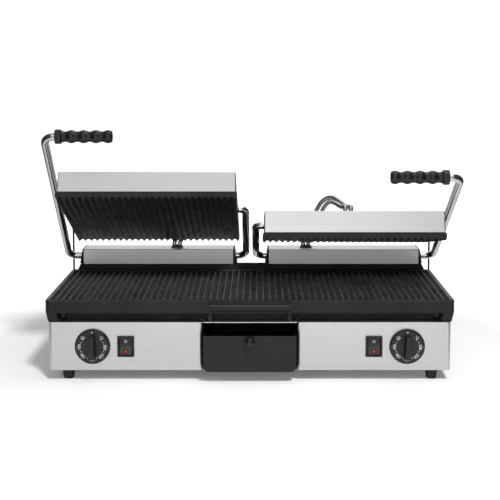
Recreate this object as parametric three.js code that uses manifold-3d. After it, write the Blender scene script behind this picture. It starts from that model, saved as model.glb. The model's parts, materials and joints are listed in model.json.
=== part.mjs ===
// Double contact grill (panini press): one ribbed lower plate and two hinged, self-levelling upper plates.
// Units are millimetres. +Z is up and the front faces -Y.
// Heights count from the surface that the feet stand on, and depths from the lower plate's front face.
// At the end the whole press is moved so that its origin is the middle of its footprint box.
// Pieces that come in pairs are drawn for the right side, +X, and mirrored for the left.

import * as THREE from 'three';
import { mergeVertices } from 'three/addons/utils/BufferGeometryUtils.js';
import Module from 'manifold-3d';

const wasm = await Module();
wasm.setup();

// ---------------------------------------------------------------- driving dimensions

const GAP = 0.3; // between pieces that rest on each other
const RUNNING = 0.4; // round a shaft or pin that turns
const SHEET = 1.5; // thickness of every sheet-metal piece
const ROUND = 16; // sides of a small round piece

const PLATE = { width: 612, depth: 251, height: 33.3, corner: 8, draft: 2.5, thick: 13, wall: 26 };
const BODY = {
  width: PLATE.width - 10, depth: PLATE.depth + 47, height: 73.3, front: 1.5, corner: 5, cheek: 22, flange: 14,
};
const RECESS = { width: 141.6 };
const FOOT = { height: 17, topRadius: 10, bottomRadius: 7.5, fromSide: 26, fromEnd: 20 };

const RIM = { height: 19.4, edge: 1.5, lip: 3, lipDrop: 1.2, recess: 20, recessEnd: 16, recessSlope: 12 };
const RIB = { pitch: 10, depth: 3.6, crest: 1.6, rearLand: 13 };
const SPOUT = { width: 125, drop: 8.6, cut: 5, overhang: 2.5, lip: 8.4, chamfer: 2.5, cheek: 6 };
const REAR_WALL = { width: PLATE.width - 32, thick: 5.5, height: 11.5, slope: 6 };
const PLATE_SCREW = { headRadius: 4.5, head: 4, shankRadius: 2.5, shank: 6, seat: 17, fromSide: 24.5, drop: 25 };

const DRAWER_PLAY = { side: 2.3, face: 1.5, above: 19 };
const DRAWER = {
  width: RECESS.width - 2 * DRAWER_PLAY.side, faceWidth: RECESS.width - 2 * DRAWER_PLAY.face, faceThick: 2.5,
  height: BODY.height - DRAWER_PLAY.above, proud: 12.5, length: 236,
};
const DRAWER_CORNER = 8;
const KNOB = { radius: 7.5, stemRadius: 3, stem: 3, belowTop: 8 };
const TUNNEL = { behindDrawer: 4 };

const DIAL = { radius: 26.5, skirt: 6, standOff: 1, bore: 11 };
const WING = { length: 36, wide: 12.5, narrow: 9, height: 13 };
const DIAL_X = BODY.width / 2 - 65.5;
const SHAFT = { radius: 3, behind: 5 };
const THERMOSTAT = { width: 35, height: 30, depth: 30, setback: 10, bossRadius: 6 };
const SWITCH_X = DIAL_X - 49.7;
const SWITCH = { width: 25.4, height: 32, proud: 2, border: 1.7, depth: 25, pocket: 13 };
const ROCKER = { clearance: 0.6, reach: 4.5, waist: 2.5, back: 3, backHalf: 9, rest: 7, setback: 4.3 };
const LENS = { radius: 2.3, thick: 2, drop: 8.2 };

const HINGE = {
  inner: 30.5, outer: PLATE.width / 2 - 21, front: PLATE.depth - 8.3, depth: 46.6, hang: 25,
  axisDepth: 21.3, axisDrop: 14,
};
const HINGE_BASE = { plug: 8, topThick: 2, footThick: 6.4 };
const SPRING = { radius: 10, wire: 1.3, turns: 5, length: 26, fromEnd: 12 };

const ROD_RADIUS = 6;
const TOP = { inner: 19.5, outer: PLATE.width / 2 - 10, front: 135, rear: 97, thick: 12, chamfer: 2, land: 3 };
const ARM = { inner: 8.3, outer: TOP.outer + 17, pivot: 127, grip: 303, pivotEnd: 50 };
const BEND = { pivot: 9.5, hinge: 14, grip: 16 };
const GRIP = { start: ARM.outer - 17.5, collar: 9.5, collarRadius: 11.2, length: 77 };
const GRIP_BUMP = { mean: 9.1, wave: 1.15, pitch: 18.6, first: 15 };
const GRIP_BLIND = 9; // solid end of the grip past the rod
const PIN = { radius: 4.5, collarRadius: 7.5, reach: 13 };

const TOP_PIVOT_HEIGHT = 26.3; // pivot axis above the rib tips
const COVER = { inset: 2, endInset: 1.5, height: 32, taper: 0.5, edge: 3, corner: 2 };
const HEATER = { radius: 3.4, bend: 18, clearOfPlate: 0.6 };

const CONDUIT = { radius: 3.8, spacing: 9 };
const STRAND_STEPS = 30;
const STRAND_TURN = { from: 0.15, to: 0.9 }; // shares of the loop between which the strands turn over
const BOOT = { width: 20, depth: 11, height: 4.5 };
const GLAND = { width: 20, depth: 11, height: 5 };
const UPRIGHT = { radius: 1.75, x: ARM.outer - 1.5, foot: 40, low: 60, top: 207, bend: 8 };
const MAINS_GLAND = { radius: 10, neck: 7.5, bore: 4, length: 13, x: BODY.width / 2 - 86, z: 45 };

// How each side stands: arm and plate angles above level, and the conduit's gland and route. A route's points
// are across, behind the hinge axis, and above the hinge box.
const SIDES = [
  {
    name: 'left',
    sign: -1,
    armAngle: 46.3,
    plateAngle: 25.2,
    glandX: 127,
    route: [[120, 8, 26.6], [123, 23, 56.6], [135, 24, 88.6], [148, 4, 112.6], [155, -26, 123.6], [158, -52, 120.6]],
  },
  {
    name: 'right',
    sign: 1,
    armAngle: 32.3,
    plateAngle: 10.2,
    glandX: 94,
    route: [[99, 7, 30.6], [113, 10, 53.6], [124, -2, 75.6], [134, -34, 86.6], [143, -66, 86.6], [152, -90, 82.6]],
  },
];

// ---------------------------------------------------------------- derived levels and places

const bodyBottom = FOOT.height;
const bodyTop = bodyBottom + BODY.height;
const bodyBack = BODY.front + BODY.depth;
const controlHeight = bodyBottom + BODY.height / 2;
const plateBottom = bodyTop + GAP;
const plateTop = plateBottom + PLATE.height;
const hingeTop = plateTop + REAR_WALL.height + 24;
const hingeY = HINGE.front + HINGE.axisDepth;
const hingeZ = hingeTop - HINGE.axisDrop;
const panelInside = BODY.front + SHEET;
const sideInside = BODY.width / 2 - SHEET - GAP;
const backInside = bodyBack - SHEET - GAP;
const drawerBottom = bodyBottom + SHEET + GAP;
const drawerFace = BODY.front - DRAWER.proud;
const radians = THREE.MathUtils.degToRad;

// ---------------------------------------------------------------- materials

const finish = (color, roughness, metalness) => new THREE.MeshStandardMaterial({ color, roughness, metalness });
const MATERIAL = {
  steel: finish(0xc9cacb, 0.35, 1),
  zinc: finish(0x9a9c9e, 0.5, 1),
  chrome: finish(0xd9dadc, 0.12, 1),
  castIron: finish(0x2b2b2c, 0.7, 0.3),
  blackMetal: finish(0x151515, 0.55, 0.4),
  blackPlastic: finish(0x1b1b1c, 0.45, 0),
  rubber: finish(0x111111, 0.9, 0),
  heater: finish(0x5b5a58, 0.6, 0.8),
  lens: finish(0xd8401c, 0.3, 0),
};

// ---------------------------------------------------------------- shape helpers

const point = (u, v) => new THREE.Vector2(u, v);
const points = (pairs) => pairs.map(([u, v]) => point(u, v));

// Turns a closed geometry into a solid that can be joined and cut.
function solid(geometry) {
  const bare = geometry.clone();
  for (const name of Object.keys(bare.attributes)) if (name !== 'position') bare.deleteAttribute(name);
  const merged = mergeVertices(bare, 1e-4);
  const vertProperties = new Float32Array(merged.attributes.position.array);
  const triVerts = new Uint32Array(merged.index.array);
  return new wasm.Manifold(new wasm.Mesh({ numProp: 3, vertProperties, triVerts }));
}

// Turns a solid back into a geometry.
function geometryOf(body) {
  const { vertProperties, triVerts } = body.getMesh();
  const geometry = new THREE.BufferGeometry();
  geometry.setAttribute('position', new THREE.BufferAttribute(new Float32Array(vertProperties), 3));
  geometry.setIndex(new THREE.BufferAttribute(new Uint32Array(triVerts), 1));
  geometry.computeVertexNormals();
  return geometry;
}

const join = (first, ...others) => geometryOf(others.reduce((sum, g) => sum.add(solid(g)), solid(first)));
const cut = (first, ...others) => geometryOf(others.reduce((rest, g) => rest.subtract(solid(g)), solid(first)));
const common = (first, second) => geometryOf(solid(first).intersect(solid(second)));

// Mirrors a geometry through the YZ plane and keeps its faces pointing out.
function mirrored(geometry) {
  const flipped = geometry.index ? geometry.toNonIndexed() : geometry.clone();
  flipped.scale(-1, 1, 1);
  const { array } = flipped.attributes.position;
  for (let i = 0; i < array.length; i += 9) {
    for (let k = i + 3; k < i + 6; k += 1) [array[k], array[k + 3]] = [array[k + 3], array[k]];
  }
  flipped.computeVertexNormals();
  return flipped;
}

const onSide = (side, geometry) => (side.sign < 0 ? mirrored(geometry) : geometry);

function box(x0, x1, y0, y1, z0, z1) {
  const geometry = new THREE.BoxGeometry(x1 - x0, y1 - y0, z1 - z0);
  return geometry.translate((x0 + x1) / 2, (y0 + y1) / 2, (z0 + z1) / 2);
}

// A cylinder along an axis ('x', 'y' or 'z') from one coordinate to another; at holds the other two in order.
function rod(axis, radius, from, to, at, sides = ROUND) {
  const geometry = new THREE.CylinderGeometry(radius, radius, to - from, sides);
  const middle = (from + to) / 2;
  if (axis === 'x') return geometry.rotateZ(-Math.PI / 2).translate(middle, at[0], at[1]);
  if (axis === 'y') return geometry.translate(at[0], middle, at[1]);
  return geometry.rotateX(Math.PI / 2).translate(at[0], at[1], middle);
}

// A turned piece round the Y axis, from a profile of (radius, height) pairs listed either way round.
function turned(pairs, sides = ROUND) {
  const profile = points(pairs);
  if (THREE.ShapeUtils.area(profile) < 0) profile.reverse();
  return new THREE.LatheGeometry(profile, sides);
}

// Extrusions of an outline: XY along Z, XZ along Y and YZ along X.
function extrudeZ(outline, z0, z1) {
  const geometry = new THREE.ExtrudeGeometry(new THREE.Shape(outline), { depth: z1 - z0, bevelEnabled: false });
  return geometry.translate(0, 0, z0);
}

function extrudeY(outline, y0, y1) {
  return extrudeZ(outline, 0, y1 - y0).rotateX(Math.PI / 2).translate(0, y1, 0);
}

function extrudeX(outline, x0, x1) {
  const turn = new THREE.Matrix4().makeBasis(
    new THREE.Vector3(0, 1, 0), new THREE.Vector3(0, 0, 1), new THREE.Vector3(1, 0, 0));
  return extrudeZ(outline, 0, x1 - x0).applyMatrix4(turn).translate(x0, 0, 0);
}

// Rounds the corners of an outline, or of an open path, with arcs.
function rounded(corners, radius, closed = true, steps = 3) {
  const count = corners.length;
  return corners.flatMap((corner, i) => {
    if (!radius || (!closed && (i === 0 || i === count - 1))) return [corner.clone()];
    const size = Array.isArray(radius) ? radius[i] : radius;
    if (!size) return [corner.clone()];
    const before = corners[(i + count - 1) % count].clone().sub(corner).normalize();
    const after = corners[(i + 1) % count].clone().sub(corner).normalize();
    const half = Math.acos(THREE.MathUtils.clamp(before.dot(after), -1, 1)) / 2;
    const centre = before.clone().add(after).normalize().multiplyScalar(size / Math.sin(half)).add(corner);
    const start = before.multiplyScalar(size / Math.tan(half)).add(corner).sub(centre);
    const end = after.multiplyScalar(size / Math.tan(half)).add(corner).sub(centre);
    const sweep = Math.sign(start.cross(end)) * (Math.PI - 2 * half);
    return Array.from({ length: steps + 1 }, (_, k) =>
      start.clone().rotateAround(point(0, 0), (sweep * k) / steps).add(centre));
  });
}

function rectangle(x0, x1, y0, y1, radius = 0, steps = 3) {
  return rounded(points([[x0, y0], [x1, y0], [x1, y1], [x0, y1]]), radius, true, steps);
}

// The outline of a bent sheet: its outer path, which turns left, and the same path moved in by the thickness.
function bentSheet(path, thick = SHEET, radius = 2) {
  const inner = path.map((corner, i) => {
    const sideways = (a, b) => point(-(b.y - a.y), b.x - a.x).normalize();
    const first = sideways(path[Math.max(i - 1, 0)], path[Math.max(i, 1)]);
    const second = sideways(path[Math.min(i, path.length - 2)], path[Math.min(i + 1, path.length - 1)]);
    const mitre = first.clone().add(second).normalize();
    return mitre.multiplyScalar(thick / mitre.dot(first)).add(corner);
  });
  const inside = rounded(inner, Math.max(radius - thick, 0.2), false, 3);
  return [...rounded(path, radius, false, 3), ...inside.reverse()];
}

// A closed skin over outlines of equal point count, each at its own height.
function loft(sections) {
  const count = sections[0].outline.length;
  const position = sections.flatMap(({ outline, z }) => outline.flatMap((p) => [p.x, p.y, z]));
  const index = [];
  const last = (sections.length - 1) * count;
  for (const [a, b, c] of THREE.ShapeUtils.triangulateShape(sections[0].outline, [])) {
    index.push(a, c, b, last + a, last + b, last + c);
  }
  for (let s = 0; s < last; s += count) {
    for (let i = 0; i < count; i += 1) {
      const j = (i + 1) % count;
      index.push(s + i, s + j, s + count + j, s + i, s + count + j, s + count + i);
    }
  }
  const geometry = new THREE.BufferGeometry();
  geometry.setAttribute('position', new THREE.Float32BufferAttribute(position, 3));
  geometry.setIndex(index);
  geometry.computeVertexNormals();
  return geometry;
}

// A path whose stations are exactly the given points, so that straight runs take no needless steps.
class StationPath extends THREE.Curve {
  constructor(stations) {
    super();
    this.stations = stations;
  }

  getPointAt(u, target = new THREE.Vector3()) {
    return target.copy(this.stations[Math.round(u * (this.stations.length - 1))]);
  }

  getTangentAt(u, target = new THREE.Vector3()) {
    const here = Math.round(u * (this.stations.length - 1));
    const before = this.stations[Math.max(here - 1, 0)];
    const after = this.stations[Math.min(here + 1, this.stations.length - 1)];
    const at = this.stations[here];
    const into = at.clone().sub(before).normalize();
    const out = after.clone().sub(at).normalize();
    return target.copy(into.add(out)).normalize();
  }
}

// A helix round the X axis.
class Coil extends THREE.Curve {
  constructor(radius, turns, length) {
    super();
    Object.assign(this, { radius, turns, length });
  }

  getPoint(t, target = new THREE.Vector3()) {
    const angle = 2 * Math.PI * this.turns * t;
    return target.set(this.length * t, this.radius * Math.cos(angle), this.radius * Math.sin(angle));
  }
}

function circle(radius, sides) {
  return Array.from({ length: sides }, (_, i) =>
    point(radius * Math.cos((2 * Math.PI * i) / sides), radius * Math.sin((2 * Math.PI * i) / sides)));
}

function sweep(path, steps, radius, sides) {
  const shape = new THREE.Shape(circle(radius, sides));
  return new THREE.ExtrudeGeometry(shape, { steps, bevelEnabled: false, extrudePath: path });
}

// A round bar bent in one plane; place turns the plane's (u, v) into a point in space.
function bentRod(corners, bends, radius, sides, place, bendSteps = 6) {
  const stations = rounded(corners, bends, false, bendSteps).map(place);
  return sweep(new StationPath(stations), stations.length - 1, radius, sides);
}

// The ribs' lower or upper outline: crests at even spacing with round-bottomed grooves between them.
function ribLine(firstCrest, grooves, crestLevel, down) {
  const line = [];
  const wide = RIB.pitch - RIB.crest;
  for (let i = 0; i < grooves; i += 1) {
    const left = firstCrest + i * RIB.pitch + RIB.crest / 2;
    const depthAt = (share) => RIB.depth * Math.sin(Math.PI * share) ** 0.75;
    for (const share of [0, 0.18, 0.5, 0.82, 1]) {
      line.push([left + wide * share, crestLevel - down * depthAt(share)]);
    }
  }
  return line;
}

function node(name, geometry, material) {
  const mesh = new THREE.Mesh(geometry, material);
  mesh.name = name;
  return mesh;
}

// ---------------------------------------------------------------- body

// One bent sheet: cheek beside the drawer, front panel, side wall and rear flange, with its control holes.
function housing() {
  const path = points([
    [RECESS.width / 2, BODY.front + BODY.cheek],
    [RECESS.width / 2, BODY.front],
    [BODY.width / 2, BODY.front],
    [BODY.width / 2, bodyBack],
    [BODY.width / 2 - BODY.flange, bodyBack],
  ]);
  const shell = extrudeZ(bentSheet(path, SHEET, BODY.corner), bodyBottom, bodyTop);
  const through = [BODY.front - 1, panelInside + 1];
  const shaftHole = rod('y', THERMOSTAT.bossRadius + GAP, ...through, [DIAL_X, controlHeight]);
  const half = SWITCH.width / 2 - SWITCH.border + GAP;
  const tall = SWITCH.height / 2 - SWITCH.border + GAP;
  const switchHole = box(
    SWITCH_X - half, SWITCH_X + half, ...through, controlHeight - tall, controlHeight + tall);
  return cut(shell, shaftHole, switchHole);
}

// A flat sheet inside the side walls, notched round the cheeks, with a row of slots.
function floorSheet(z0, slots) {
  const outline = rectangle(-sideInside, sideInside, panelInside + GAP, backInside - SHEET - GAP, BODY.corner);
  const sheet = extrudeZ(outline, z0, z0 + SHEET);
  const cheek = box(
    RECESS.width / 2 - GAP, RECESS.width / 2 + BODY.corner + GAP,
    0, BODY.front + BODY.cheek + GAP, z0 - 1, z0 + SHEET + 1);
  const holes = slots.map(([x, y]) => box(x - 3, x + 3, y - 30, y + 30, z0 - 1, z0 + SHEET + 1));
  return cut(sheet, cheek, mirrored(cheek), ...holes);
}

function basePan() {
  const slots = [-240, -220, -200, -180, 180, 200, 220, 240].map((x) => [x, 150]);
  return floorSheet(bodyBottom, slots);
}

const deck = () => floorSheet(bodyTop - SHEET, [[-150, 260], [150, 260]]);

function rearPanel() {
  const half = sideInside - BODY.corner;
  const panel = box(-half, half, backInside - SHEET, backInside, bodyBottom, bodyTop - SHEET - GAP);
  const slots = [-150, -90, -30, 30, 90].map((x) =>
    box(x - 20, x + 20, 0, bodyBack, controlHeight - 2, controlHeight + 2));
  const cable = rod('y', MAINS_GLAND.neck + GAP, 0, bodyBack, [MAINS_GLAND.x, MAINS_GLAND.z]);
  return cut(panel, ...slots, cable);
}

function drawerTunnel() {
  const side = RECESS.width / 2 + SHEET + GAP + SHEET;
  const front = BODY.front + BODY.corner + GAP;
  const back = drawerFace + DRAWER.faceThick + DRAWER.length + TUNNEL.behindDrawer;
  const path = points([[side, front], [side, back], [-side, back], [-side, front]]);
  return extrudeZ(bentSheet(path, SHEET, 2), drawerBottom, bodyTop - SHEET - GAP);
}

function foot(x, y) {
  const top = bodyBottom - GAP;
  return loft([
    { outline: circle(FOOT.bottomRadius - 1, ROUND), z: 0 },
    { outline: circle(FOOT.bottomRadius, ROUND), z: 1 },
    { outline: circle(FOOT.topRadius, ROUND), z: top },
  ]).translate(x, y, 0);
}

function mainsGland() {
  const { radius, neck, bore, length, x, z } = MAINS_GLAND;
  const outside = backInside + GAP;
  const profile = [
    [bore, outside - 8], [neck, outside - 8], [neck, outside], [radius, outside],
    [radius, outside + length - 3], [radius - 3, outside + length], [bore, outside + length], [bore, outside - 8],
  ];
  return turned(profile).translate(x, 0, z);
}

// ---------------------------------------------------------------- grease drawer

function drawer() {
  const top = drawerBottom + DRAWER.height - SHEET;
  const y0 = drawerFace + DRAWER.faceThick;
  const trough = (inset) => rounded(points([
    [-DRAWER.width / 2 + inset, drawerBottom + inset],
    [DRAWER.width / 2 - inset, drawerBottom + inset],
    [DRAWER.width / 2 - inset, top + inset],
    [-DRAWER.width / 2 + inset, top + inset],
  ]), [DRAWER_CORNER - inset, DRAWER_CORNER - inset, 0, 0]);
  const half = DRAWER.faceWidth / 2;
  const face = rounded(points([
    [-half, bodyBottom + 0.5], [half, bodyBottom + 0.5],
    [half, drawerBottom + DRAWER.height - 1], [-half, drawerBottom + DRAWER.height - 1],
  ]), [DRAWER_CORNER, DRAWER_CORNER, 0, 0]);
  const pan = cut(
    extrudeY(trough(0), y0 - 0.5, y0 + DRAWER.length),
    extrudeY(trough(SHEET), y0, y0 + DRAWER.length - SHEET));
  return join(pan, extrudeY(face, drawerFace, y0));
}

function drawerKnob() {
  const z = drawerBottom + DRAWER.height - KNOB.belowTop;
  const centre = KNOB.stem + KNOB.radius * 0.9;
  const ball = Array.from({ length: 7 }, (_, i) => {
    const angle = -0.36 * Math.PI + (i / 6) * 0.86 * Math.PI;
    return [KNOB.radius * Math.cos(angle), centre + KNOB.radius * Math.sin(angle)];
  });
  ball[ball.length - 1][0] = 0;
  const profile = [[0, GAP], [KNOB.stemRadius, GAP], [KNOB.stemRadius, KNOB.stem - 1], ...ball];
  return turned(profile).rotateX(Math.PI).translate(0, drawerFace, z);
}

// ---------------------------------------------------------------- lower plate

// The casting: drafted box with a rolled top edge, front and side recesses, ribs, spout and a hollow underside.
function lowerPlate() {
  const half = PLATE.width / 2;
  const outline = (inset) => rectangle(-half + inset, half - inset, inset, PLATE.depth - inset, PLATE.corner);
  const recessTop = plateTop - RIM.height;
  let body = loft([
    { outline: outline(PLATE.draft), z: plateBottom },
    { outline: outline(0), z: recessTop },
    { outline: outline(0), z: plateTop - RIM.edge },
    { outline: outline(RIM.edge * 0.7), z: plateTop },
  ]);

  const end = half - RIM.recessEnd;
  const slope = RIM.recessSlope;
  const front = extrudeZ(points([
    [-end, -1], [end, -1], [end - slope, RIM.recess], [-end + slope, RIM.recess],
  ]), plateBottom - 1, recessTop);
  const sideEnd = PLATE.depth - RIM.recessEnd;
  const sideRecess = extrudeZ(points([
    [half + 1, RIM.recessEnd], [half + 1, sideEnd],
    [half - RIM.recess, sideEnd - slope], [half - RIM.recess, RIM.recessEnd + slope],
  ]), plateBottom - 1, recessTop);
  const hollow = box(
    -half + PLATE.wall, half - PLATE.wall, PLATE.wall, PLATE.depth - PLATE.wall,
    plateBottom - 1, plateTop - PLATE.thick);
  body = cut(body, front, sideRecess, mirrored(sideRecess), hollow);

  const grooves = Math.floor((PLATE.width - RIB.pitch) / RIB.pitch);
  const firstCrest = (-grooves * RIB.pitch) / 2;
  const comb = (first, count, y0, y1) => extrudeY(points([
    [first + RIB.crest / 2, plateTop + 2], ...ribLine(first, count, plateTop - 0.01, 1),
    [first + count * RIB.pitch - RIB.crest / 2, plateTop + 2],
  ]), y0, y1);
  const ribEnd = PLATE.depth - RIB.rearLand;
  const spoutGrooves = grooves - 2 * Math.ceil((grooves - SPOUT.width / RIB.pitch) / 2);
  const lipCut = box(-half - 1, half + 1, -1, RIM.lip, plateTop - RIM.lipDrop, plateTop + 1);
  body = cut(
    body, comb(firstCrest, grooves, RIM.lip, ribEnd), lipCut,
    comb((-spoutGrooves * RIB.pitch) / 2, spoutGrooves, -1, RIM.lip + 1));

  const ledge = plateTop - SPOUT.drop;
  const wide = SPOUT.width / 2;
  const notch = extrudeY(points([
    [-wide + SPOUT.chamfer, ledge], [wide - SPOUT.chamfer, ledge], [wide, plateTop + 1], [-wide, plateTop + 1],
  ]), -1, SPOUT.cut);
  const lip = extrudeX(points([
    [SPOUT.cut + 1, ledge], [-SPOUT.overhang + 1, ledge], [-SPOUT.overhang, ledge - 1],
    [-SPOUT.overhang, ledge - SPOUT.lip + 2], [0.5, ledge - SPOUT.lip], [SPOUT.cut + 1, ledge - SPOUT.lip],
  ]), -wide + SPOUT.chamfer, wide - SPOUT.chamfer);
  const cheek = box(wide - SPOUT.cheek, wide, 4, RIM.recess + 1, plateBottom, recessTop + 1);
  body = join(cut(body, notch), lip, cheek, mirrored(cheek));

  const screw = [half - PLATE_SCREW.fromSide, plateTop - PLATE_SCREW.drop];
  const pocket = rod('y', PLATE_SCREW.headRadius + 0.8, -1, PLATE_SCREW.seat, screw);
  const thread = rod('y', PLATE_SCREW.shankRadius + GAP, 0, PLATE_SCREW.seat + PLATE_SCREW.shank + 1, screw);
  return cut(body, pocket, thread, mirrored(pocket), mirrored(thread));
}

function plateScrew() {
  const { headRadius, head, shankRadius, shank, fromSide, drop } = PLATE_SCREW;
  const seat = PLATE_SCREW.seat - GAP;
  const profile = [
    [0, seat + shank], [shankRadius, seat + shank], [shankRadius, seat], [headRadius, seat],
    [headRadius, seat - head + 0.8], [headRadius - 0.8, seat - head],
    [2, seat - head], [2, seat - 2], [0, seat - 2],
  ];
  return turned(profile, 12).translate(PLATE.width / 2 - fromSide, 0, plateTop - drop);
}

function rearWall() {
  const half = REAR_WALL.width / 2;
  const outline = points([
    [-half - REAR_WALL.slope, plateTop + GAP], [half + REAR_WALL.slope, plateTop + GAP],
    [half, plateTop + REAR_WALL.height], [-half, plateTop + REAR_WALL.height],
  ]);
  return extrudeY(outline, PLATE.depth - REAR_WALL.thick, PLATE.depth);
}

function heatShield() {
  const half = PLATE.width / 2 - PLATE.wall - 4;
  const inset = PLATE.wall + 4;
  return box(-half, half, inset, PLATE.depth - inset, plateBottom + 2, plateBottom + 3);
}

// A round heating element bent to and fro in one level plane.
function heater(x0, x1, y0, y1, z) {
  const pass = (y1 - y0) / 3;
  const corners = points([
    [x0, y0], [x1, y0], [x1, y0 + pass], [x0, y0 + pass],
    [x0, y0 + 2 * pass], [x1, y0 + 2 * pass], [x1, y1], [x0, y1],
  ]);
  return bentRod(corners, HEATER.bend, HEATER.radius, 6, (p) => new THREE.Vector3(p.x, p.y, z), 3);
}

const lowerHeater = () => heater(
  35, PLATE.width / 2 - PLATE.wall - 20, 50, PLATE.depth - 45,
  plateTop - PLATE.thick - HEATER.radius - HEATER.clearOfPlate);

// ---------------------------------------------------------------- controls

function thermostat() {
  const { width, height, depth, setback, bossRadius } = THERMOSTAT;
  const front = BODY.front + setback;
  const can = box(
    DIAL_X - width / 2, DIAL_X + width / 2, front, front + depth,
    controlHeight - height / 2, controlHeight + height / 2);
  const at = [DIAL_X, controlHeight];
  const boss = rod('y', bossRadius, BODY.front - 0.5, front + 1, at);
  return cut(join(can, boss), rod('y', SHAFT.radius + RUNNING, BODY.front - 1, front + SHAFT.behind + 1, at));
}

function dialShaft() {
  const front = BODY.front - DIAL.bore + 1;
  const back = BODY.front + THERMOSTAT.setback + SHAFT.behind;
  return rod('y', SHAFT.radius, front, back, [DIAL_X, controlHeight], 12);
}

// Skirt with a hub bore, and a raised wing to turn it by.
function dial() {
  const { radius, skirt, standOff, bore } = DIAL;
  const profile = [
    [0, bore], [SHAFT.radius + GAP, bore], [SHAFT.radius + GAP, standOff], [radius - 0.6, standOff],
    [radius, standOff + 0.6], [radius, standOff + 2.5], [radius - 1.5, skirt - 1], [radius - 5, skirt],
    [SHAFT.radius + 3, skirt], [SHAFT.radius + 3, bore + 2], [0, bore + 2],
  ];
  const disc = turned(profile, 32).rotateX(Math.PI);
  const outline = (inset) => rounded(points([
    [-WING.wide / 2 + inset, -WING.length / 2 + inset], [WING.wide / 2 - inset, -WING.length / 2 + inset],
    [WING.narrow / 2 - inset, WING.length / 2 - inset], [-WING.narrow / 2 + inset, WING.length / 2 - inset],
  ]), 3, true, 2);
  const grip = loft([
    { outline: outline(0), z: skirt - 1 },
    { outline: outline(0.8), z: skirt + WING.height - 1.5 },
    { outline: outline(1.8), z: skirt + WING.height },
  ]).rotateX(Math.PI / 2);
  const bored = cut(grip, rod('y', SHAFT.radius + GAP, -bore, 0, [0, 0]));
  return join(disc, bored).translate(DIAL_X, BODY.front, controlHeight);
}

function switchHousing() {
  const { width, height, proud, border, depth, pocket } = SWITCH;
  const rectangleAt = (w, h, r) => rectangle(
    SWITCH_X - w / 2, SWITCH_X + w / 2, controlHeight - h / 2, controlHeight + h / 2, r, 2);
  const bezel = extrudeY(rectangleAt(width, height, 1.5), BODY.front - GAP - proud, BODY.front - GAP);
  const can = extrudeY(
    rectangleAt(width - 2 * border, height - 2 * border, 0), BODY.front - GAP - 0.5, BODY.front + depth);
  const well = extrudeY(
    rectangleAt(width - 4 * border + 1, height - 4 * border + 1, 0),
    BODY.front - proud - 1, BODY.front + pocket);
  return cut(join(bezel, can), well);
}

const rockerAxis = { y: BODY.front - GAP - SWITCH.proud + ROCKER.setback, z: controlHeight };

// Shallow V-faced rocker, drawn level about its own axis; its group tilts it to the off position.
function rocker() {
  const half = (SWITCH.height - 4 * SWITCH.border + 1) / 2 - ROCKER.clearance;
  const wide = (SWITCH.width - 4 * SWITCH.border + 1) / 2 - ROCKER.clearance;
  const { reach, waist, back, backHalf } = ROCKER;
  const outline = points([
    [back, -backHalf], [back, backHalf], [-1, half], [-reach, half], [-waist, 0], [-reach, -half], [-1, -half],
  ]).reverse();
  const pocket = rod('y', LENS.radius + GAP, -reach - 1, -reach + LENS.thick + 1.2, [0, -LENS.drop], 12);
  return cut(extrudeX(outline, -wide, wide), pocket);
}

const pilotLens = () => rod(
  'y', LENS.radius, -ROCKER.reach + 0.9 - GAP, -ROCKER.reach + 0.9 - GAP + LENS.thick, [0, -LENS.drop], 12);

// ---------------------------------------------------------------- hinge boxes

// Side outline of a hinge box: over the rear wall in front, down to the deck behind.
function hingeOutline(inset, overlap) {
  const front = HINGE.front + inset;
  const back = HINGE.front + HINGE.depth - inset;
  const step = plateTop + REAR_WALL.height + GAP + overlap;
  const wall = PLATE.depth + GAP;
  return points([
    [wall, bodyTop + GAP], [back, bodyTop + GAP], [back, hingeTop - inset], [front, hingeTop - inset],
    [front, step], [wall, step],
  ]);
}

function hingeCover() {
  const back = HINGE.front + HINGE.depth;
  const path = points([
    [back, bodyTop + GAP], [back, hingeTop], [HINGE.front, hingeTop], [HINGE.front, hingeTop - HINGE.hang],
  ]);
  return extrudeX(bentSheet(path, SHEET, 2.5), HINGE.inner, HINGE.outer);
}

// Cast end bracket: a plug inside the cover, and an end plate that flares towards its foot.
function hingeBracket(end, outward) {
  const { plug, topThick, footThick } = HINGE_BASE;
  const inside = extrudeX(hingeOutline(SHEET + GAP, 0), -plug, GAP + 0.5);
  const slope = extrudeY(points([
    [GAP, bodyTop], [footThick, bodyTop], [footThick, plateTop + REAR_WALL.height],
    [topThick, hingeTop + 1], [GAP, hingeTop + 1],
  ]), HINGE.front, HINGE.front + HINGE.depth);
  const plate = common(extrudeX(hingeOutline(0, 0), GAP, footThick + 1), slope);
  const bore = rod('x', ROD_RADIUS + RUNNING, -plug - 1, footThick + 1, [hingeY, hingeZ]);
  const bracket = cut(join(inside, plate), bore);
  return (outward > 0 ? bracket : mirrored(bracket)).translate(end, 0, 0);
}

function hingeSpring() {
  const { radius, wire, turns, length, fromEnd } = SPRING;
  const coil = sweep(new Coil(radius, turns, length), turns * 9, wire, 6);
  return coil.translate(HINGE.outer - fromEnd - length, hingeY, hingeZ);
}

// ---------------------------------------------------------------- conduits

function conduitGland(side) {
  const { width, depth, height } = GLAND;
  const low = hingeTop + GAP;
  const outline = (inset) => rectangle(
    side.glandX - width / 2 + inset, side.glandX + width / 2 - inset,
    hingeY - depth / 2 + inset, hingeY + depth / 2 - inset, 3, 2);
  const block = loft([
    { outline: outline(0), z: low },
    { outline: outline(0), z: low + height - 1.5 },
    { outline: outline(1.5), z: low + height },
  ]);
  const strand = (dx) =>
    rod('z', CONDUIT.radius + RUNNING, low - 1, low + height + 1, [side.glandX + dx, hingeY], 12);
  return cut(block, strand(-CONDUIT.spacing / 2), strand(CONDUIT.spacing / 2));
}

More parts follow.
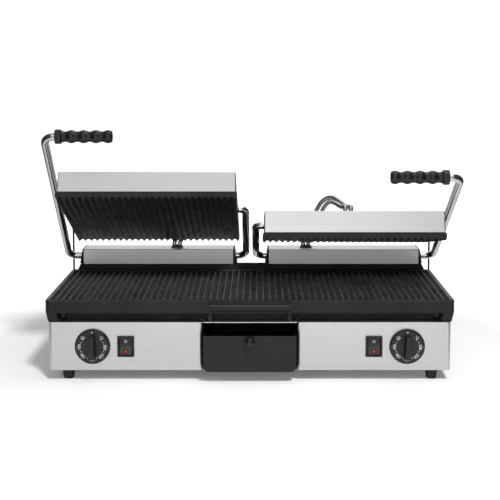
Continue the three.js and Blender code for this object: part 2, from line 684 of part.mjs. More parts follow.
// Two strands, one outside the other round the loop, from the hinge box to the boot on the upper cover.
function conduit(side) {
  const tilt = radians(side.plateAngle);
  const pivot = pivotPlace(side);
  const rise = coverTop + GAP;
  const aboveCover = (height) => [
    topMiddle, pivot.y + (rise + height) * Math.sin(tilt), pivot.z + (rise + height) * Math.cos(tilt)];
  const straight = hingeTop + GAP + GLAND.height + 1;
  const stations = [
    [side.glandX, hingeY, hingeTop - 6], [side.glandX, hingeY, hingeTop + 3], [side.glandX, hingeY, straight + 2],
    ...side.route.map(([x, behind, above]) => [x, hingeY + behind, hingeTop + above]),
    aboveCover(BOOT.height + 7), aboveCover(BOOT.height), aboveCover(BOOT.height / 2),
  ];
  const loop = new THREE.CatmullRomCurve3(stations.map((place) => new THREE.Vector3(...place)));
  const lengths = loop.getLengths(20 * (stations.length - 1));
  const leaves = lengths[40] / lengths[lengths.length - 1]; // share of the loop before the third station
  const strand = (offset) => {
    const inGland = [hingeTop - 6, straight].map((z) => new THREE.Vector3(side.glandX - offset, hingeY, z));
    const free = Array.from({ length: STRAND_STEPS + 1 }, (_, i) => {
      const u = leaves + ((1 - leaves) * i) / STRAND_STEPS;
      const turn = Math.PI * (1 - THREE.MathUtils.smoothstep(u, STRAND_TURN.from, STRAND_TURN.to));
      const along = loop.getTangentAt(u);
      const outward = new THREE.Vector3(Math.cos(turn), 0, Math.sin(turn));
      outward.addScaledVector(along, -outward.dot(along)).normalize();
      return loop.getPointAt(u).addScaledVector(outward, offset);
    });
    return sweep(new StationPath([...inGland, ...free]), STRAND_STEPS + 2, CONDUIT.radius, 8);
  };
  const boot = box(-BOOT.width / 2, BOOT.width / 2, -BOOT.depth / 2, BOOT.depth / 2, rise, rise + BOOT.height)
    .rotateX(-tilt).translate(topMiddle, pivot.y, pivot.z);
  return join(strand(-CONDUIT.spacing / 2), strand(CONDUIT.spacing / 2), boot);
}

// ---------------------------------------------------------------- arms
// An arm is drawn level about the hinge axis: x across, -y towards the grip.

function armRod() {
  const corners = points([
    [ARM.pivotEnd, -ARM.pivot], [ARM.inner, -ARM.pivot], [ARM.inner, 0],
    [ARM.outer, 0], [ARM.outer, -ARM.grip],
    [GRIP.start - GRIP.collar - GRIP.length + GRIP_BLIND + GAP, -ARM.grip],
  ]);
  const bends = [0, BEND.pivot, BEND.hinge, BEND.hinge, BEND.grip, 0];
  return bentRod(corners, bends, ROD_RADIUS, 10, (p) => new THREE.Vector3(p.x, p.y, 0));
}

// Finger grip: a turned handle with bumps, bored from the collar's end.
function grip() {
  const { start, collar, length } = GRIP;
  const { mean, wave, pitch, first } = GRIP_BUMP;
  const radiusAt = (s) => mean + wave * Math.cos((2 * Math.PI * (s - first)) / pitch);
  const bore = ROD_RADIUS + GAP;
  const waves = Array.from({ length: 17 }, (_, i) => 1 + (i * (length - 3)) / 16).map((s) => [radiusAt(s), s]);
  const profile = [
    [0, length - GRIP_BLIND], [bore, length - GRIP_BLIND], [bore, 0], [radiusAt(0), 0],
    ...waves, [mean - 2, length], [0, length],
  ];
  return turned(profile, 14).rotateZ(Math.PI / 2)
    .translate(start - collar - GAP, -ARM.grip, 0);
}

function gripCollar() {
  const { start, collar, collarRadius } = GRIP;
  const bore = ROD_RADIUS + GAP;
  const profile = [
    [bore, 0], [collarRadius - 1, 0], [collarRadius, 1], [collarRadius, collar - 1], [collarRadius - 1, collar],
    [bore, collar], [bore, 0],
  ];
  return turned(profile).rotateZ(Math.PI / 2).translate(start, -ARM.grip, 0);
}

// Pin from the outer arm into the upper cover.
function pivotPin() {
  const shoulder = TOP.outer - COVER.inset + 1;
  const end = ARM.outer - ROD_RADIUS - GAP;
  const profile = [
    [0, shoulder - PIN.reach], [PIN.radius, shoulder - PIN.reach], [PIN.radius, shoulder],
    [PIN.collarRadius, shoulder], [PIN.collarRadius, end - 2], [PIN.radius, end], [0, end],
  ];
  return turned(profile).rotateZ(-Math.PI / 2).translate(0, -ARM.pivot, 0);
}

// ---------------------------------------------------------------- upper plates
// An upper plate is drawn level about its pivot axis: -y towards its front.

const topMiddle = (TOP.inner + TOP.outer) / 2;
const topBottom = -TOP_PIVOT_HEIGHT;
const topSeat = topBottom + TOP.thick;
const coverTop = topSeat + GAP + COVER.height;

const pivotPlace = (side) => ({
  y: hingeY - ARM.pivot * Math.cos(radians(side.armAngle)),
  z: hingeZ + ARM.pivot * Math.sin(radians(side.armAngle)),
});

function upperPlate() {
  const { inner, outer, front, rear, chamfer, land } = TOP;
  const grooves = Math.floor((outer - inner - 2 * land) / RIB.pitch);
  const firstCrest = topMiddle - (grooves * RIB.pitch) / 2;
  const outline = points([
    [inner + chamfer, topSeat], [inner, topSeat - chamfer],
    [inner, topBottom + 2 * chamfer], [inner + chamfer, topBottom],
    ...ribLine(firstCrest, grooves, topBottom, -1),
    [outer - chamfer, topBottom], [outer, topBottom + 2 * chamfer],
    [outer, topSeat - chamfer], [outer - chamfer, topSeat],
  ]);
  return extrudeY(outline, -front, rear);
}

// Bent and welded cover, open below, with holes for the rod and the pin.
function upperCover() {
  const shell = (inset, low, top) => {
    const outline = (more) => rectangle(
      TOP.inner + COVER.inset + inset + more, TOP.outer - COVER.inset - inset - more,
      -TOP.front + COVER.endInset + inset + more, TOP.rear - COVER.endInset - inset - more, COVER.corner);
    return loft([
      { outline: outline(0), z: low },
      { outline: outline(COVER.taper), z: top - COVER.edge },
      { outline: outline(COVER.taper + COVER.edge * 0.3), z: top - COVER.edge * 0.3 },
      { outline: outline(COVER.taper + COVER.edge), z: top },
    ]);
  };
  const low = topSeat + GAP;
  const rodHole = rod('x', ROD_RADIUS + RUNNING, TOP.inner, TOP.inner + 10, [0, 0]);
  const pinHole = rod('x', PIN.radius + RUNNING, TOP.outer - 10, TOP.outer, [0, 0]);
  return cut(shell(0, low, coverTop), shell(SHEET, low - 1, coverTop - SHEET), rodHole, pinHole);
}

const upperHeater = () => heater(
  TOP.inner + 40, TOP.outer - 40, -TOP.front + 35, TOP.rear - 25, topSeat + HEATER.radius + HEATER.clearOfPlate);

// ---------------------------------------------------------------- rear uprights

// Thin bent rod that stands behind each outer arm.
function rearUpright() {
  const { radius, x, foot: reach, low, top, bend } = UPRIGHT;
  const corners = points([[x - reach, low], [x, low], [x, top]]);
  const y = bodyBack + GAP + radius;
  return bentRod(corners, bend, radius, 8, (p) => new THREE.Vector3(p.x, y, p.y), 4);
}

// ---------------------------------------------------------------- assembly

const press = new THREE.Group();

press.add(
  node('base_pan', basePan(), MATERIAL.zinc),
  node('deck', deck(), MATERIAL.zinc),
  node('rear_panel', rearPanel(), MATERIAL.steel),
  node('drawer_tunnel', drawerTunnel(), MATERIAL.blackMetal),
  node('mains_gland', mainsGland(), MATERIAL.blackPlastic),
  node('grease_drawer', drawer(), MATERIAL.blackMetal),
  node('drawer_knob', drawerKnob(), MATERIAL.blackPlastic),
  node('lower_plate', lowerPlate(), MATERIAL.castIron),
  node('rear_wall', rearWall(), MATERIAL.castIron),
  node('heat_shield', heatShield(), MATERIAL.zinc),
);

for (const side of SIDES) {
  const { name, sign } = side;
  const add = (label, geometry, material) => press.add(node(`${label}_${name}`, onSide(side, geometry), material));

  add('housing', housing(), MATERIAL.steel);
  const footX = BODY.width / 2 - FOOT.fromSide;
  add('foot_front', foot(footX, BODY.front + FOOT.fromEnd), MATERIAL.rubber);
  add('foot_rear', foot(footX, bodyBack - FOOT.fromEnd), MATERIAL.rubber);
  add('plate_screw', plateScrew(), MATERIAL.blackMetal);
  add('lower_heater', lowerHeater(), MATERIAL.heater);
  add('thermostat', thermostat(), MATERIAL.zinc);
  add('dial_shaft', dialShaft(), MATERIAL.zinc);
  add('dial', dial(), MATERIAL.blackPlastic);
  add('switch_housing', switchHousing(), MATERIAL.blackPlastic);
  add('hinge_bracket_outer', hingeBracket(HINGE.outer, 1), MATERIAL.castIron);
  add('hinge_bracket_inner', hingeBracket(HINGE.inner, -1), MATERIAL.castIron);
  add('hinge_spring', hingeSpring(), MATERIAL.zinc);
  add('conduit_gland', conduitGland(side), MATERIAL.blackPlastic);
  add('conduit', conduit(side), MATERIAL.chrome);
  add('rear_upright', rearUpright(), MATERIAL.steel);

  const holes = [-1, 1].map((dx) => {
    const x = side.glandX + (dx * CONDUIT.spacing) / 2;
    return rod('z', CONDUIT.radius + RUNNING, hingeTop - 5, hingeTop + 1, [x, hingeY], 12);
  });
  add('hinge_cover', cut(hingeCover(), ...holes), MATERIAL.steel);

  const rockerGroup = new THREE.Group();
  rockerGroup.position.set(sign * SWITCH_X, rockerAxis.y, rockerAxis.z);
  rockerGroup.rotation.x = -radians(ROCKER.rest);
  rockerGroup.add(
    node(`rocker_${name}`, rocker(), MATERIAL.blackPlastic),
    node(`pilot_lens_${name}`, pilotLens(), MATERIAL.lens),
  );

  const arm = new THREE.Group();
  arm.position.set(0, hingeY, hingeZ);
  arm.rotation.x = -radians(side.armAngle);
  arm.add(
    node(`arm_${name}`, onSide(side, armRod()), MATERIAL.chrome),
    node(`grip_${name}`, onSide(side, grip()), MATERIAL.blackPlastic),
    node(`grip_collar_${name}`, onSide(side, gripCollar()), MATERIAL.blackPlastic),
    node(`pivot_pin_${name}`, onSide(side, pivotPin()), MATERIAL.zinc),
  );

  const top = new THREE.Group();
  top.position.set(0, -ARM.pivot, 0);
  top.rotation.x = radians(side.armAngle - side.plateAngle);
  top.add(
    node(`upper_plate_${name}`, onSide(side, upperPlate()), MATERIAL.castIron),
    node(`upper_cover_${name}`, onSide(side, upperCover()), MATERIAL.steel),
    node(`upper_heater_${name}`, onSide(side, upperHeater()), MATERIAL.heater),
  );
  arm.add(top);
  press.add(rockerGroup, arm);
}

press.updateMatrixWorld(true);
const bounds = new THREE.Box3().setFromObject(press, true);
press.position.set(-(bounds.min.x + bounds.max.x) / 2, -(bounds.min.y + bounds.max.y) / 2, -bounds.min.z);

export default press;
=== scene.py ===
"""Looks of a double contact grill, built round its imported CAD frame.

Shapes are modelled in millimetres in the design's own axes: X to the right, Y back from the
lower plate's front face, and Z up from the surface that the feet stand on. Each finished piece
is then moved into the frame, in metres, with its object at the origin.
"""

import json
import logging
import math
from collections.abc import Callable, Iterable, Sequence
from dataclasses import dataclass
from enum import Enum

import bmesh
import bpy
from mathutils import Matrix, Vector


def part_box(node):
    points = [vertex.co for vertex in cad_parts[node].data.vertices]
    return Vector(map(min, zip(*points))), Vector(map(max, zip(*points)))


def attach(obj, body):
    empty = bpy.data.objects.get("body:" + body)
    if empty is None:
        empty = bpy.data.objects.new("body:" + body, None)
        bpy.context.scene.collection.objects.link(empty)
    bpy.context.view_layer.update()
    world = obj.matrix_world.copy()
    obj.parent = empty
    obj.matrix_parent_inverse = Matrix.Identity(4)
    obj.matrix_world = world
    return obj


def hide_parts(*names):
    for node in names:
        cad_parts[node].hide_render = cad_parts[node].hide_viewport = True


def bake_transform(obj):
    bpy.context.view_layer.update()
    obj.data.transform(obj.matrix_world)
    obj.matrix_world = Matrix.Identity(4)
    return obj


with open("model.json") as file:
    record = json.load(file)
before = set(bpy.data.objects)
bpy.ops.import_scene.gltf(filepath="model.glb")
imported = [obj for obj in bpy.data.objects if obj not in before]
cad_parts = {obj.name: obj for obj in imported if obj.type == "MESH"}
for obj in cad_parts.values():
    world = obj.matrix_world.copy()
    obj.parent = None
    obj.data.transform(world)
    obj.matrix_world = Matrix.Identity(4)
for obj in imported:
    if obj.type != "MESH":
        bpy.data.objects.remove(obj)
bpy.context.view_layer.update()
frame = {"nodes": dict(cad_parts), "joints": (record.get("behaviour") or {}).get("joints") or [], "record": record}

log = logging.getLogger("grill")

MM = 0.001
COVER_MIDDLE = 157.75  # how far an upper plate's middle is to the side, in mm
Colour = tuple[float, float, float]
Point = tuple[float, float, float]
Flat = tuple[float, float]


class Side(Enum):
    """One of the grill's two mirrored halves, seen from the front."""

    LEFT = -1
    RIGHT = 1

    @property
    def label(self) -> str:
        """The word that ends this half's node names."""
        return self.name.lower()


class Axis(Enum):
    """An axis that a turned piece stands along."""

    X = (0.0, math.pi / 2, 0.0)
    Y = (-math.pi / 2, 0.0, 0.0)
    Z = (0.0, 0.0, 0.0)

    @property
    def turn(self) -> Matrix:
        """The turn that takes +Z to this axis."""
        x, y, _ = self.value
        return Matrix.Rotation(y, 4, "Y") @ Matrix.Rotation(x, 4, "X")


# ---------------------------------------------------------------- finishes


class Shader:
    """A material being put together round one principled surface."""

    def __init__(self, name: str) -> None:
        """Starts a material.

        Args:
            name: The material's name.
        """
        self.material = bpy.data.materials.new(name)
        self.material.use_nodes = True
        self.tree = self.material.node_tree
        self.surface = self.tree.nodes["Principled BSDF"]

    def add(self, kind: str, **settings: object) -> bpy.types.Node:
        """Adds a node.

        Args:
            kind: The node's type, such as ShaderNodeTexNoise.
            **settings: Properties to set on it.

        Returns:
            The new node.
        """
        node = self.tree.nodes.new(kind)
        for key, value in settings.items():
            setattr(node, key, value)
        return node

    def feed(self, source: bpy.types.NodeSocket, socket: str) -> None:
        """Links a value to one of the surface's sockets."""
        self.tree.links.new(source, self.surface.inputs[socket])

    def place(self, scale: Point = (1.0, 1.0, 1.0)) -> bpy.types.NodeSocket:
        """Object coordinates, stretched.

        Args:
            scale: How much each axis is multiplied by.

        Returns:
            The vector socket.
        """
        mapping = self.add("ShaderNodeMapping")
        mapping.inputs["Scale"].default_value = scale
        source = self.add("ShaderNodeTexCoord").outputs["Object"]
        self.tree.links.new(source, mapping.inputs["Vector"])
        return mapping.outputs["Vector"]

    def noise(self, vector: bpy.types.NodeSocket, scale: float, detail: float = 3.0) -> bpy.types.NodeSocket:
        """Noise over a vector.

        Args:
            vector: The coordinates it reads.
            scale: Its frequency per metre.
            detail: How many finer layers it has.

        Returns:
            Its value socket.
        """
        node = self.add("ShaderNodeTexNoise")
        node.inputs["Scale"].default_value = scale
        node.inputs["Detail"].default_value = detail
        self.tree.links.new(vector, node.inputs["Vector"])
        return node.outputs[0]

    def span(self, value: bpy.types.NodeSocket, low: float, high: float, start: float = 0.3,
             end: float = 0.7) -> bpy.types.NodeSocket:
        """Maps a value on to a range.

        Args:
            value: What is mapped.
            low: The result where the value is start.
            high: The result where the value is end.
            start: Low end of the value.
            end: High end of the value.

        Returns:
            The mapped value socket.
        """
        node = self.add("ShaderNodeMapRange")
        for socket, number in zip(("From Min", "From Max", "To Min", "To Max"), (start, end, low, high)):
            node.inputs[socket].default_value = number
        self.tree.links.new(value, node.inputs["Value"])
        return node.outputs[0]

    def tint(self, value: bpy.types.NodeSocket, dark: Colour, light: Colour) -> bpy.types.NodeSocket:
        """Blends two colours by a value from 0 to 1.

        Args:
            value: The share of the light colour.
            dark: Colour at 0.
            light: Colour at 1.

        Returns:
            The colour socket.
        """
        node = self.add("ShaderNodeMix", data_type="RGBA")
        node.inputs["A"].default_value = (*dark, 1.0)
        node.inputs["B"].default_value = (*light, 1.0)
        self.tree.links.new(value, node.inputs["Factor"])
        return node.outputs["Result"]

    def blend(self, share: bpy.types.NodeSocket, first: bpy.types.NodeSocket,
              second: bpy.types.NodeSocket) -> bpy.types.NodeSocket:
        """Blends two values.

        Args:
            share: How much of the second is taken, from 0 to 1.
            first: Value at 0.
            second: Value at 1.

        Returns:
            The blended value socket.
        """
        node = self.add("ShaderNodeMix", data_type="FLOAT")
        for socket, source in zip(("Factor", "A", "B"), (share, first, second)):
            self.tree.links.new(source, node.inputs[socket])
        return node.outputs["Result"]

    def bump(self, height: bpy.types.NodeSocket, distance: float, strength: float = 1.0) -> None:
        """Raises the surface by a height, after any bump that it already has.

        Args:
            height: The height socket.
            distance: Height in metres where the value is 1.
            strength: Share of the effect.
        """
        node = self.add("ShaderNodeBump")
        node.inputs["Distance"].default_value = distance
        node.inputs["Strength"].default_value = strength
        self.tree.links.new(height, node.inputs["Height"])
        normal = self.surface.inputs["Normal"]
        if normal.is_linked:
            self.tree.links.new(normal.links[0].from_socket, node.inputs["Normal"])
        self.tree.links.new(node.outputs["Normal"], normal)

    def across(self, axis: int, start: float = 0.6, end: float = 0.8) -> bpy.types.NodeSocket:
        """How far the surface faces along an axis.

        Args:
            axis: 0, 1 or 2 for X, Y or Z.
            start: Share of the axis in the normal where the result leaves 0.
            end: Share where it reaches 1.

        Returns:
            A value socket that is 1 on faces square to the axis and 0 on the others.
        """
        split = self.add("ShaderNodeSeparateXYZ")
        self.tree.links.new(self.add("ShaderNodeNewGeometry").outputs["Normal"], split.inputs[0])
        size = self.add("ShaderNodeMath", operation="ABSOLUTE")
        self.tree.links.new(split.outputs[axis], size.inputs[0])
        return self.span(size.outputs[0], 0.0, 1.0, start, end)


@dataclass(frozen=True)
class Finish:
    """A surface finish: a base colour, a roughness, and what its kind adds to them."""

    name: str
    colour: Colour
    roughness: float

    def material(self) -> bpy.types.Material:
        """The finish's one material, made the first time that it is asked for."""
        found = bpy.data.materials.get(self.name)
        if found:
            return found
        shader = Shader(self.name)
        shader.surface.inputs["Base Color"].default_value = (*self.colour, 1.0)
        shader.surface.inputs["Roughness"].default_value = self.roughness
        self.dress(shader)
        return shader.material

    def dress(self, shader: Shader) -> None:
        """Adds this kind's detail to the shader."""
        raise NotImplementedError

    def shade(self, share: float) -> Colour:
        """The base colour times a share."""
        return tuple(channel * share for channel in self.colour)

    def mottle(self, shader: Shader, noise: bpy.types.NodeSocket, dark: float, light: float) -> None:
        """Lets the base colour drift between two shares of itself.

        Args:
            shader: The material being made.
            noise: What it drifts with.
            dark: Share where the noise is low.
            light: Share where it is high.
        """
        drift = shader.span(noise, 0.0, 1.0)
        shader.feed(shader.tint(drift, self.shade(dark), self.shade(light)), "Base Color")


@dataclass(frozen=True)
class CastIron(Finish):
    """Seasoned casting: sand-cast grain, patches of oil sheen, slow colour drift and a painted highlight on upward
    faces.
    """

    grain: float = 0.00004
    # Share of grey painted on upward faces as a highlight.
    wear: float = 0.14

    def dress(self, shader: Shader) -> None:
        """Adds grain, sheen patches, colour drift and a painted highlight on upward faces."""
        at = shader.place()
        drift = shader.noise(at, 14.0, 4.0)
        black = shader.tint(shader.span(drift, 0.0, 1.0), self.shade(0.78), self.shade(1.25))
        # Painted highlight: faces that look straight up, rib crests among them, are lightened towards grey.
        level = shader.add("ShaderNodeMath", operation="MULTIPLY")
        shader.tree.links.new(shader.across(2, 0.9, 0.985), level.inputs[0])
        level.inputs[1].default_value = self.wear
        painted_top_highlight = shader.tint(level.outputs[0], self.colour, (0.5, 0.5, 0.5))
        shader.tree.links.new(black, painted_top_highlight.node.inputs["A"])
        shader.feed(painted_top_highlight, "Base Color")
        sheen = shader.noise(at, 60.0, 5.0)
        shader.feed(shader.span(sheen, self.roughness - 0.07, self.roughness + 0.1), "Roughness")
        shader.surface.inputs["Specular IOR Level"].default_value = 0.22
        shader.bump(shader.noise(at, 260.0, 4.0), self.grain * 2.0, 0.5)
        shader.bump(shader.noise(at, 1300.0, 2.0), self.grain, 0.45)


@dataclass(frozen=True)
class BrushedSteel(Finish):
    """Stainless sheet with fine straight scratches, level on every wall, and faint handling marks."""

    scratch: float = 0.000004
    metal: float = 1.0

    def dress(self, shader: Shader) -> None:
        """Adds scratches along X, or along Y on side walls, and cloudy roughness."""
        shader.surface.inputs["Metallic"].default_value = self.metal
        lengthways = shader.noise(shader.place((3.0, 900.0, 900.0)), 1.0, 3.0)
        sideways = shader.noise(shader.place((900.0, 3.0, 900.0)), 1.0, 3.0)
        streak = shader.blend(shader.across(0), lengthways, sideways)
        self.mottle(shader, streak, 0.94, 1.03)
        cloud = shader.noise(shader.place((6.0, 6.0, 14.0)), 1.0, 4.0)
        rough = shader.span(streak, self.roughness - 0.05, self.roughness + 0.06)
        cloudy = shader.span(cloud, self.roughness - 0.03, self.roughness + 0.05)
        shader.feed(shader.blend(shader.span(cloud, 0.35, 0.65), rough, cloudy), "Roughness")
        shader.bump(streak, self.scratch)


@dataclass(frozen=True)
class Plating(Finish):
    """Bright plated metal with a trace of polishing marks and fingerprints."""

    smudge: float = 0.07

    def dress(self, shader: Shader) -> None:
        """Adds smudged roughness and a very faint waviness."""
        shader.surface.inputs["Metallic"].default_value = 1.0
        at = shader.place()
        marks = shader.noise(at, 45.0, 5.0)
        shader.feed(shader.span(marks, self.roughness, self.roughness + self.smudge, 0.45, 0.75), "Roughness")
        self.mottle(shader, marks, 0.95, 1.02)
        shader.bump(shader.noise(at, 160.0, 2.0), 0.00002, 0.35)


@dataclass(frozen=True)
class Moulding(Finish):
    """Moulded plastic or rubber with spark-eroded grain and light wear of its sheen."""

    grain: float = 0.00003
    pitch: float = 1500.0

    def dress(self, shader: Shader) -> None:
        """Adds grain and a slightly uneven sheen."""
        at = shader.place()
        wear = shader.noise(at, 70.0, 4.0)
        shader.feed(shader.span(wear, self.roughness - 0.05, self.roughness + 0.07), "Roughness")
        self.mottle(shader, wear, 0.88, 1.14)
        shader.bump(shader.noise(at, self.pitch, 2.0), self.grain, 0.6)


@dataclass(frozen=True)
class Enamel(Finish):
    """Sprayed satin coating on sheet metal, with a soft orange-peel surface."""

    peel: float = 0.00004

    def dress(self, shader: Shader) -> None:
        """Adds orange peel and a thin clear layer."""
        at = shader.place()
        shader.surface.inputs["Specular IOR Level"].default_value = 0.3
        shader.surface.inputs["Coat Weight"].default_value = 0.12
        shader.surface.inputs["Coat Roughness"].default_value = 0.18
        patch = shader.noise(at, 22.0, 3.0)
        shader.feed(shader.span(patch, self.roughness - 0.05, self.roughness + 0.06), "Roughness")
        self.mottle(shader, patch, 0.92, 1.1)
        shader.bump(shader.noise(at, 420.0, 2.0), self.peel, 0.5)


@dataclass(frozen=True)
class Galvanised(Finish):
    """Dull zinc-coated or heat-greyed metal with cloudy patches."""

    def dress(self, shader: Shader) -> None:
        """Adds crystalline patches of colour and roughness."""
        shader.surface.inputs["Metallic"].default_value = 1.0
        cells = shader.add("ShaderNodeTexVoronoi")
        cells.inputs["Scale"].default_value = 160.0
        shader.tree.links.new(shader.place(), cells.inputs["Vector"])
        patch = shader.noise(shader.place(), 40.0, 4.0)
        self.mottle(shader, patch, 0.82, 1.1)
        spread = shader.span(cells.outputs["Distance"], self.roughness - 0.06, self.roughness + 0.1, 0.0, 0.8)
        shader.feed(spread, "Roughness")
        shader.bump(patch, 0.00005, 0.4)


@dataclass(frozen=True)
class Lens(Finish):
    """Tinted lens of a pilot lamp, faintly lit from behind."""

    glow: float = 0.5

    def dress(self, shader: Shader) -> None:
        """Adds uneven colour and a small glow."""
        patch = shader.noise(shader.place(), 900.0, 1.0)
        self.mottle(shader, patch, 0.7, 1.1)
        shader.surface.inputs["Emission Color"].default_value = (*self.colour, 1.0)
        shader.surface.inputs["Emission Strength"].default_value = self.glow
        shader.surface.inputs["Coat Weight"].default_value = 0.6


@dataclass(frozen=True)
class Ink(Finish):
    """Printed marking, a little uneven in its cover."""

    def dress(self, shader: Shader) -> None:
        """Adds uneven cover."""
        cover = shader.noise(shader.place(), 1100.0, 2.0)
        self.mottle(shader, cover, 0.8, 1.05)


CASTING = CastIron("seasoned_casting", (0.016, 0.016, 0.0165), 0.44)
HINGE_CASTING = CastIron("black_hinge_casting", (0.007, 0.007, 0.0072), 0.4)
STEEL = BrushedSteel("brushed_sheet", (0.74, 0.74, 0.74), 0.33)
# Hinge cover steel: the satin roughness is real; the colour, lighter than the sheet steel's, is painted light on the
# hinge fronts.
LIGHTENED_HINGE_STEEL = BrushedSteel("satin_hinge_steel", (0.88, 0.88, 0.88), 0.5)
CHROME = Plating("bright_plating", (0.78, 0.78, 0.79), 0.07)
BRAID = Plating("conduit_sheath", (0.62, 0.63, 0.63), 0.26)
ZINC = Galvanised("zinc_coat", (0.5, 0.51, 0.52), 0.45)
SHEATH = Galvanised("heater_tube", (0.3, 0.29, 0.28), 0.5)
# Rear upright rods: plating darkened to near black, painted shade on thin rods that sit behind the arms.
DULL_SHADED_ROD = Plating("dull_rod", (0.09, 0.09, 0.092), 0.3)
DRAWER_COAT = Enamel("drawer_coat", (0.011, 0.011, 0.0115), 0.38)
GRIP_PLASTIC = Moulding("grip_plastic", (0.007, 0.007, 0.0075), 0.3)
DIAL_PLASTIC = Moulding("dial_plastic", (0.008, 0.008, 0.0085), 0.33)
GLOSS_PLASTIC = Moulding("gloss_plastic", (0.007, 0.007, 0.0075), 0.14, 0.000006)
SCREW_BLACK = Enamel("screw_black", (0.02, 0.02, 0.02), 0.3)
FOOT_RUBBER = Moulding("foot_rubber", (0.01, 0.01, 0.01), 0.6, 0.00006, 900.0)
LAMP_LENS = Lens("lamp_lens", (0.6, 0.04, 0.012), 0.15)
WHITE_INK = Ink("white_ink", (0.78, 0.78, 0.77), 0.5)

FINISH_OF_SLOT: dict[str, Finish] = {
    "brushed_steel": STEEL,
    "zinc_sheet": ZINC,
    "chrome_rod": CHROME,
    "cast_iron": CASTING,
    "black_metal": DRAWER_COAT,
    "black_plastic": DIAL_PLASTIC,
    "gloss_black_plastic": GLOSS_PLASTIC,
    "rubber": FOOT_RUBBER,
    "heater_sheath": SHEATH,
    "lens_orange": LAMP_LENS,
    "steel_braid": BRAID,
}


# ---------------------------------------------------------------- shapes


def datum() -> Matrix:
    """The move from design millimetres to the frame's metres.

    Returns:
        The matrix. The rear wall's back face is 251 mm behind the design's zero.
    """
    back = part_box("rear_wall")[1].y
    return Matrix.Translation((0.0, back - 251.0 * MM, 0.0)) @ Matrix.Scale(MM, 4)


DATUM = datum()


